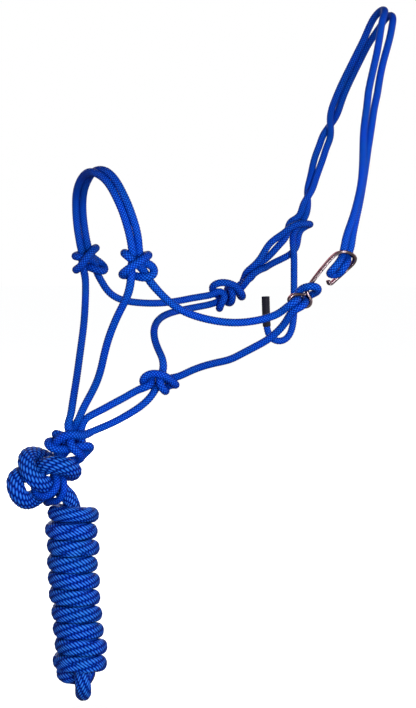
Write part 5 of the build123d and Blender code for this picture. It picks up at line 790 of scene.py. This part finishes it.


# each braid's groove colour is painted shade in its seams, and its crown colour a painted highlight on its yarn
# tops
cord = Braid(
    CORD, spacing=0.36, segments=48,
    surface=cord_surface, slot="halter_cord",
    material=rope_material(
        "halter_cord_braid", groove_shade=(0.0002, 0.014, 0.2), body=(0.0008, 0.058, 0.6),
        crown=(0.012, 0.18, 1.0), seam=0.15, fibre_scale=3.2, bump_distance=0.00012,
        roughness=0.58))
lead = Braid(
    LEAD, spacing=0.55, segments=96,
    surface=lead_surface, slot="lead_rope",
    material=rope_material(
        "lead_rope_braid", groove_shade=(0.0, 0.008, 0.13), body=(0.0008, 0.052, 0.58),
        crown=(0.04, 0.27, 1.0), seam=0.28, fibre_scale=3.6, bump_distance=0.0002,
        roughness=0.52))
turns = lead_turns(lead.arc)

for touching in TOUCHING:
    cord.snug(*touching)
cord.settle()

# strands flatten in a tight knot and fill it, so the rope reads a little thicker there
for start, (end, node, _) in zip(CORD_STARTS, CORD_RUNS):
    if node == "fiador_knot":
        cord.fatten(start - 4, end + 4, 0.13)
    elif "_knot" in node:
        cord.fatten(start, end, 0.06)
lead.fatten(0.0, KNOT_END - 4, 0.11, taper=20.0)
# the outer loop and the hank's top turn pass close when the hank twists, so both are thinned
for start, (end, node, _) in zip(CORD_STARTS, CORD_RUNS):
    if node == "fiador_loop_outer":
        cord.fatten(start, end, -0.06, taper=14.0)
lead.fatten(CORE_REAR_END - 8, CORE_REAR_END + 125, -0.05, taper=14.0)

# ------------------------------------------------------------------ meshes


def ring_quads(count, around):
    """Faces between closed rings of points."""
    row, column = np.meshgrid(np.arange(count - 1), np.arange(around), indexing="ij")
    following = (column + 1) % around
    here, above = row * around, (row + 1) * around
    corners = [here + column, here + following, above + following, above + column]
    return np.stack(corners, -1).reshape(-1, 4)


def add_object(name, mesh, material):
    mesh.validate()
    mesh.polygons.foreach_set("use_smooth", np.ones(len(mesh.polygons), bool))
    mesh.materials.append(material)
    obj = bpy.data.objects.new(name, mesh)
    bpy.context.scene.collection.objects.link(obj)
    return obj


def grid_mesh(name, rows, material, caps=True):
    """A mesh from closed rings of points in millimetres."""
    rows = np.array(rows, float)
    count, around, _ = rows.shape
    faces = ring_quads(count, around).tolist()
    if caps:
        faces.append(list(range(around))[::-1])
        faces.append([(count - 1) * around + c for c in range(around)])
    mesh = bpy.data.meshes.new(name)
    mesh.from_pydata((rows.reshape(-1, 3) * MM).tolist(), [], faces)
    return add_object(name, mesh, material)


def rope_cap(rope, row, ring, theta, rim_start, new_start, sign):
    """A slightly lumpy dome on a cut end. Sign is -1 at the start of a piece, 1 at its end."""
    centre, axis = rope.x[row], rope.tangent[row] * sign
    rim = ring - centre
    bulge = axis * float(np.linalg.norm(rim, axis=1).mean()) * 0.34
    around, steps = len(theta), 5
    previous = rim_start + np.arange(around)
    points, weave, quads = [], [], []
    for step in range(1, steps + 1):
        part = step / (steps + 1)
        angle = part * math.pi / 2
        wobble = 1 + 0.035 * np.sin(theta * 5 + step) * part
        points.append(
            centre + rim * (math.cos(angle) ** 0.8) * wobble[:, None] + bulge * math.sin(angle))
        weave.append(np.tile([0.25 + 0.4 * (1 - part), 0.0, step], (around, 1)))
        now = new_start + (step - 1) * around + np.arange(around)
        others = [now, np.roll(now, -1), np.roll(previous, -1)]
        quads.append(np.stack([previous, *others[::-sign]], -1))
        previous = now
    points.append((centre + bulge)[None])
    weave.append(np.array([[0.2, 0.0, 9.0]]))
    tip = np.full(around, new_start + steps * around)
    triangles = np.stack([*[previous, np.roll(previous, -1)][::sign], tip], -1)
    return points, weave, quads, triangles


def tube(name, rope, start, end, cap=None, press=None):
    """A length of rope as a mesh with its braid in real relief."""
    rows = rope.rings(start, end)
    around = rope.segments
    theta = np.arange(around) * 2 * np.pi / around
    radius, weave = rope.surface(theta, rows)
    outward = (
        np.cos(theta)[None, :, None] * rope.normal[rows][:, None, :]
        + np.sin(theta)[None, :, None] * rope.binormal[rows][:, None, :])
    radius = radius * rope.girth[rows][:, None]
    if press is not None:
        radius = radius * press(rope.x[rows], outward)
    rings = rope.x[rows][:, None, :] + radius[..., None] * outward
    points, weave = rings.reshape(-1, 3), weave.reshape(-1, 3)
    quads = ring_quads(len(rows), around)
    triangles = np.zeros((0, 3), int)
    if cap:
        row, sign = (0, -1) if cap == "start" else (len(rows) - 1, 1)
        cap_points, cap_weave, cap_quads, triangles = rope_cap(
            rope, rows[row], rings[row], theta, row * around, len(points), sign)
        points = np.concatenate([points] + cap_points)
        weave = np.concatenate([weave] + cap_weave)
        quads = np.concatenate([quads] + cap_quads)
    mesh = bpy.data.meshes.new(name)
    mesh.vertices.add(len(points))
    mesh.vertices.foreach_set("co", (points * MM).astype(np.float32).ravel())
    loops = np.concatenate([quads.ravel(), triangles.ravel()]).astype(np.int32)
    mesh.loops.add(len(loops))
    mesh.loops.foreach_set("vertex_index", loops)
    starts = np.concatenate([
        np.arange(len(quads)) * 4,
        len(quads) * 4 + np.arange(len(triangles)) * 3,
    ]).astype(np.int32)
    mesh.polygons.add(len(starts))
    mesh.polygons.foreach_set("loop_start", starts)
    mesh.update(calc_edges=True)
    obj = add_object(name, mesh, rope.material)
    attribute = mesh.attributes.new("weave", "FLOAT_VECTOR", "POINT")
    attribute.data.foreach_set("vector", weave.astype(np.float32).ravel())
    return obj


def lay(name, node, rope, start, end, bodies, slack=(0, 0), **shape):
    """A length of rope that rides one body; one that lies between two bodies is left on no body, fixed where it
    lies.
    """
    obj = tube("rope_" + name, rope, start, end, **shape)
    if len(bodies) == 1:
        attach(obj, bodies[0])
    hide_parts(node)
    if len(bodies) == 2:
        rope.point(start + slack[0])
        rope.point(end - slack[1])
        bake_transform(obj)


# ------------------------------------------------------------------ halter cord

for start, (end, node, pieces) in zip(CORD_STARTS, CORD_RUNS):
    rest = end - start - sum(length or 0 for _, length, *_ in pieces)
    place = start
    for i, (name, length, *bodies) in enumerate(pieces):
        until = place + (length or rest)
        slack = (BEND_SLACK if i > 0 else 0, BEND_SLACK if i < len(pieces) - 1 else 0)
        lay(name, node, cord, place, until, bodies, slack, cap=CORD_CAPS.get(name))
        place = until

# ------------------------------------------------------------------ lead rope

# the neck bends in two parts, just round the end of the knot
NECK_TOP, NECK_MIDDLE, NECK_FOOT = KNOT_END - 7, KNOT_END + 6, KNOT_END + 21
HANK = ["hank"]

# the middle line of the hank, from its two core strands, and the height of its top turn
core = np.concatenate([
    lead.at(np.linspace(NECK_END + 10, CORE_FRONT_END, 40)),
    lead.at(np.linspace(END_LOOP_END, CORE_REAR_END - 10, 40)),
])
core_middle = core.mean(0)
core_axis = np.linalg.svd(core - core_middle)[2][0]
wraps_top = lead.at(np.linspace(CORE_REAR_END, WRAPS_END, 600))[:, 2].max()


def pressed(x, outward):
    """Tight wraps lie flat against each other: the section squares up along the hank's axis."""
    away = x - core_middle
    away = away - (away @ core_axis)[:, None] * core_axis
    away /= np.linalg.norm(away, axis=1)[:, None]
    lengthwise = np.abs(outward @ core_axis)
    sideways = np.abs(np.sum(outward * away[:, None, :], axis=2))
    rim = np.sqrt(lengthwise * lengthwise + sideways * sideways)
    power = 5.0
    square = rim / (lengthwise**power + sideways**power + 1e-9) ** (1 / power)
    # flattest on the sides towards and away from -Y
    flat = 0.12 + 0.88 * (away @ np.array([-0.34, -0.94, 0.0])) ** 2
    # the top turn has nothing above it to press on
    flat = flat * np.clip((wraps_top - x[:, 2]) / 12.0, 0.0, 1.0)
    return 1 + (square - 1) * flat[:, None]


lay("lead_knot", "lead_knot", lead, 0.0, NECK_TOP, ["fiador"], cap="start")
lay("lead_neck_top", "lead_neck", lead, NECK_TOP, NECK_MIDDLE, ["fiador", "lead_link"], (0.6, 0.6))
lay("lead_neck_foot", "lead_neck", lead, NECK_MIDDLE, NECK_FOOT, ["lead_link", "hank"], (0.6, 1))
lay("hank_core_front", "hank_core_front", lead, NECK_FOOT, CORE_FRONT_END, HANK)
lay("hank_end_loop", "hank_end_loop", lead, CORE_FRONT_END, END_LOOP_END, HANK)
lay("hank_core_rear", "hank_core_rear", lead, END_LOOP_END, CORE_REAR_END, HANK)
wraps_length = WRAPS_END - CORE_REAR_END
for k in range(3):
    start = CORE_REAR_END + wraps_length * k / 3
    end = CORE_REAR_END + wraps_length * (k + 1) / 3
    lay("hank_wraps_" + "abc"[k], "hank_wraps", lead, start, end, HANK, press=pressed)
lay("hank_tail", "hank_tail", lead, WRAPS_END, LEAD_END, HANK, cap="end")

# ------------------------------------------------------------------ hook

# centre line of the flat wire, as (x, y, z)
HOOK = [
    (-88.91, -70, -230.94), (-87.6, -70, -233.3), (-83.93, -70, -231.25), (-78.05, -70, -226.53),
    (-71.41, -71.5, -220.34), (-68.02, -74, -215.96), (-67.54, -76, -212.4), (-70.5, -78, -209.18),
    (-75.16, -79, -207.23), (-79.76, -79, -206.54), (-83.87, -78, -207.37), (-87.04, -77, -209.61),
    (-94.28, -75, -217.65), (-101.51, -73, -226.95), (-106.92, -71, -235.28), (-108.9, -71, -239.83),
    (-107.49, -72.2, -243.97), (-106.78, -73.5, -247.67), (-108.84, -74.5, -250.91),
    (-113.82, -75.5, -252.02), (-120.14, -76.5, -250.86), (-125.5, -77, -248.59),
    (-127.44, -77.5, -245.49), (-125.12, -77.5, -242.47), (-119.43, -76.8, -241.43),
    (-113.39, -75, -241.51),
]
WIRE_WIDTH, WIRE_THICKNESS, WIRE_CORNER = 5.0, 2.6, 0.95


def wire_profile():
    """A rounded rectangle, as (across, up) points."""
    profile = []
    for side, top, first_angle in ((1, 1, 0), (-1, 1, 90), (-1, -1, 180), (1, -1, 270)):
        for step in range(0, 91, 15):
            angle = math.radians(first_angle + step)
            profile.append((
                side * (WIRE_WIDTH / 2 - WIRE_CORNER) + WIRE_CORNER * math.cos(angle),
                top * (WIRE_THICKNESS / 2 - WIRE_CORNER) + WIRE_CORNER * math.sin(angle)))
    return np.array(profile)


def build_hook():
    path = Rope(HOOK, 0.45)
    profile = wire_profile()

    def section(i, width=1.0, thickness=1.0, beyond=0.0):
        """The profile at one ring, its width kept as near to Y as the path allows."""
        tangent = path.tangent[i]
        across = np.array([0.0, 1.0, 0.0]) - tangent * tangent[1]
        across /= np.linalg.norm(across)
        up = np.cross(tangent, across)
        return (path.x[i] + profile[:, :1] * width * across
                + profile[:, 1:] * thickness * up + tangent * beyond)

    def tip(i, sign):
        """Sections that round off an end, from the wire outwards."""
        sections = []
        for step in range(1, 6):
            angle = step / 5 * math.pi / 2
            shrink = math.cos(angle * 0.92)
            sections.append(section(
                i, width=1 - (1 - shrink) * 0.55, thickness=max(shrink, 0.25),
                beyond=sign * 0.85 * math.sin(angle)))
        return sections

    last = len(path.x) - 1
    rows = tip(0, -1)[::-1] + [section(i) for i in range(last + 1)] + tip(last, 1)
    hook = grid_mesh("hook_wire", rows, metal_material())
    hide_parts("hook")
    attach(hook, "hook")


build_hook()

# ------------------------------------------------------------------ sleeve on the cord's tail

SLEEVE_RADIUS, SLEEVE_BORE, SLEEVE_LENGTH = 3.8, 3.25, 27.0
# (distance along the cord, radius): out of the bore, round the lip, along the film, round again
SLEEVE_STATIONS = [
    (6.0, SLEEVE_BORE), (3.0, SLEEVE_BORE), (0.0, SLEEVE_BORE), (-0.75, SLEEVE_BORE),
    (-0.93, SLEEVE_BORE + 0.1), (-1.0, SLEEVE_BORE + 0.27), (-0.93, SLEEVE_RADIUS - 0.1),
    (-0.75, SLEEVE_RADIUS),
    *[(place, SLEEVE_RADIUS) for place in np.arange(-0.4, SLEEVE_LENGTH - 0.7, 0.4)],
    (SLEEVE_LENGTH - 0.4, SLEEVE_RADIUS - 0.06), (SLEEVE_LENGTH - 0.1, SLEEVE_RADIUS - 0.25),
    (SLEEVE_LENGTH, SLEEVE_BORE + 0.12), (SLEEVE_LENGTH - 0.1, SLEEVE_BORE - 0.03),
]


def build_sleeve():
    theta = np.arange(56) * 2 * np.pi / 56
    rows = []
    for place, station_radius in SLEEVE_STATIONS:
        i = int(np.searchsorted(cord.arc, max(place, 0.0)))
        centre = cord.x[i] + cord.tangent[i] * (place - cord.arc[i])
        radius = np.full(len(theta), station_radius)
        if station_radius > SLEEVE_RADIUS - 0.08:
            # the braid shows through as faint lumps, and the film pinches in between them
            around, along = 4 * theta, np.pi * place / 2.15
            lumps = 0.05 * np.cos(around + along) * np.cos(around - along)
            radius = radius - 0.05 + lumps - 0.02 * (1 + math.sin(place * 0.9 + 0.4))
        outward = (
            np.cos(theta)[:, None] * cord.normal[i] + np.sin(theta)[:, None] * cord.binormal[i])
        rows.append(centre + radius[:, None] * outward)
    sleeve = grid_mesh("sleeve_film", rows, sleeve_material(), caps=False)
    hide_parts("tail_sleeve")
    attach(sleeve, "tail")


build_sleeve()

# ------------------------------------------------------------------ stage, light, camera (m)

FLOOR_GAP, FLOOR_X, FLOOR_DIP = 0.012, -0.28, 0.0006
TARGET = Vector((-0.17065, 0.0, -0.29567))
CAMERA_PLACE = Vector((-0.57951, -1.12334, -0.19108))
# strength of the world's light, and what glossy rays see on top of it
AMBIENT, GLOSSY_EXTRA = 0.10, 0.08


def build_floor():
    """A wide round floor, open at its centre, which dips gently away from the object."""
    floor_z = cad_low[2] - FLOOR_GAP
    angle = np.arange(72) * 2 * np.pi / 72
    rows = [
        np.stack([
            FLOOR_X + radius * np.cos(angle),
            radius * np.sin(angle),
            np.full(72, floor_z - FLOOR_DIP * radius**2),
        ], -1)
        for radius in (0.02, 0.2, 0.5, 1.0, 2.0, 4.0, 7.0, 12.0)
    ]
    floor = grid_mesh("stage_floor", np.array(rows) * 1000, floor_material(), caps=False)
    floor.visible_glossy = False
    floor.visible_diffuse = False


def build_world():
    """White to the camera, dim to everything else."""
    world = bpy.data.worlds.new("studio")
    bpy.context.scene.world = world
    world.use_nodes = True
    tree = world.node_tree
    tree.nodes.clear()
    output = add_node(tree, "OutputWorld")
    ray = add_node(tree, "LightPath").outputs
    seen = add_node(tree, "Background", {"Color": (1, 1, 1, 1), "Strength": 1.0})
    cast = add_node(tree, "Background", {"Color": (0.95, 0.97, 1.0, 1), "Strength": AMBIENT})
    strength = add_node(
        tree, "Math", {0: ray["Is Glossy Ray"], 1: GLOSSY_EXTRA, 2: AMBIENT},
        operation="MULTIPLY_ADD")
    feed(tree, cast, {"Strength": strength.outputs[0]})
    mix = add_node(tree, "MixShader", {
        "Fac": ray["Is Camera Ray"],
        1: cast.outputs["Background"],
        2: seen.outputs["Background"],
    })
    feed(tree, output, {"Surface": mix.outputs["Shader"]})


# name, place, (width, height), watts, colour; all aim at the target
LAMPS = [
    ("key", (-0.25, -1.32, -0.33), (0.5, 0.6), 11.5, (1.0, 0.99, 0.97)),
    ("glint", (0.1, -1.25, 0.12), (0.28, 0.28), 4.0, (0.92, 0.97, 1.0)),
    ("strip_left", (-0.95, -1.05, -0.2), (0.06, 1.3), 2.2, (0.95, 0.98, 1.0)),
    ("strip_right", (0.2, -1.2, -0.35), (0.05, 1.1), 1.8, (0.95, 0.98, 1.0)),
    ("fill_left", (-1.8, 0.1, 0.1), (1.0, 1.0), 6.0, (0.95, 0.97, 1.0)),
    ("fill_right", (1.5, -0.3, 0.0), (1.0, 1.1), 6.0, (0.97, 0.98, 1.0)),
    ("back", (0.3, 1.7, 0.2), (1.4, 1.4), 20.0, (1.0, 1.0, 1.0)),
]


def aimed_object(name, data, place):
    """Places a lamp or camera so that it looks at the target."""
    obj = bpy.data.objects.new(name, data)
    bpy.context.scene.collection.objects.link(obj)
    obj.location = place
    obj.rotation_euler = (TARGET - Vector(place)).to_track_quat("-Z", "Y").to_euler()
    return obj


def build_lamps():
    for name, place, (width, height), watts, colour in LAMPS:
        light = bpy.data.lights.new(name, "AREA")
        light.shape = "RECTANGLE"
        light.size, light.size_y = width, height
        light.energy = watts
        light.color = colour
        lamp = aimed_object(name, light, place)
        lamp.visible_camera = False
        if name == "key":
            lamp.visible_glossy = False


def build_camera():
    data = bpy.data.cameras.new("camera")
    data.lens = 70.169492
    data.sensor_width = 36
    data.clip_start, data.clip_end = 0.05, 20
    scene = bpy.context.scene
    scene.camera = aimed_object("camera", data, CAMERA_PLACE)
    scene.view_settings.view_transform = "Standard"
    scene.view_settings.look = "None"


build_floor()
build_world()
build_lamps()
build_camera()
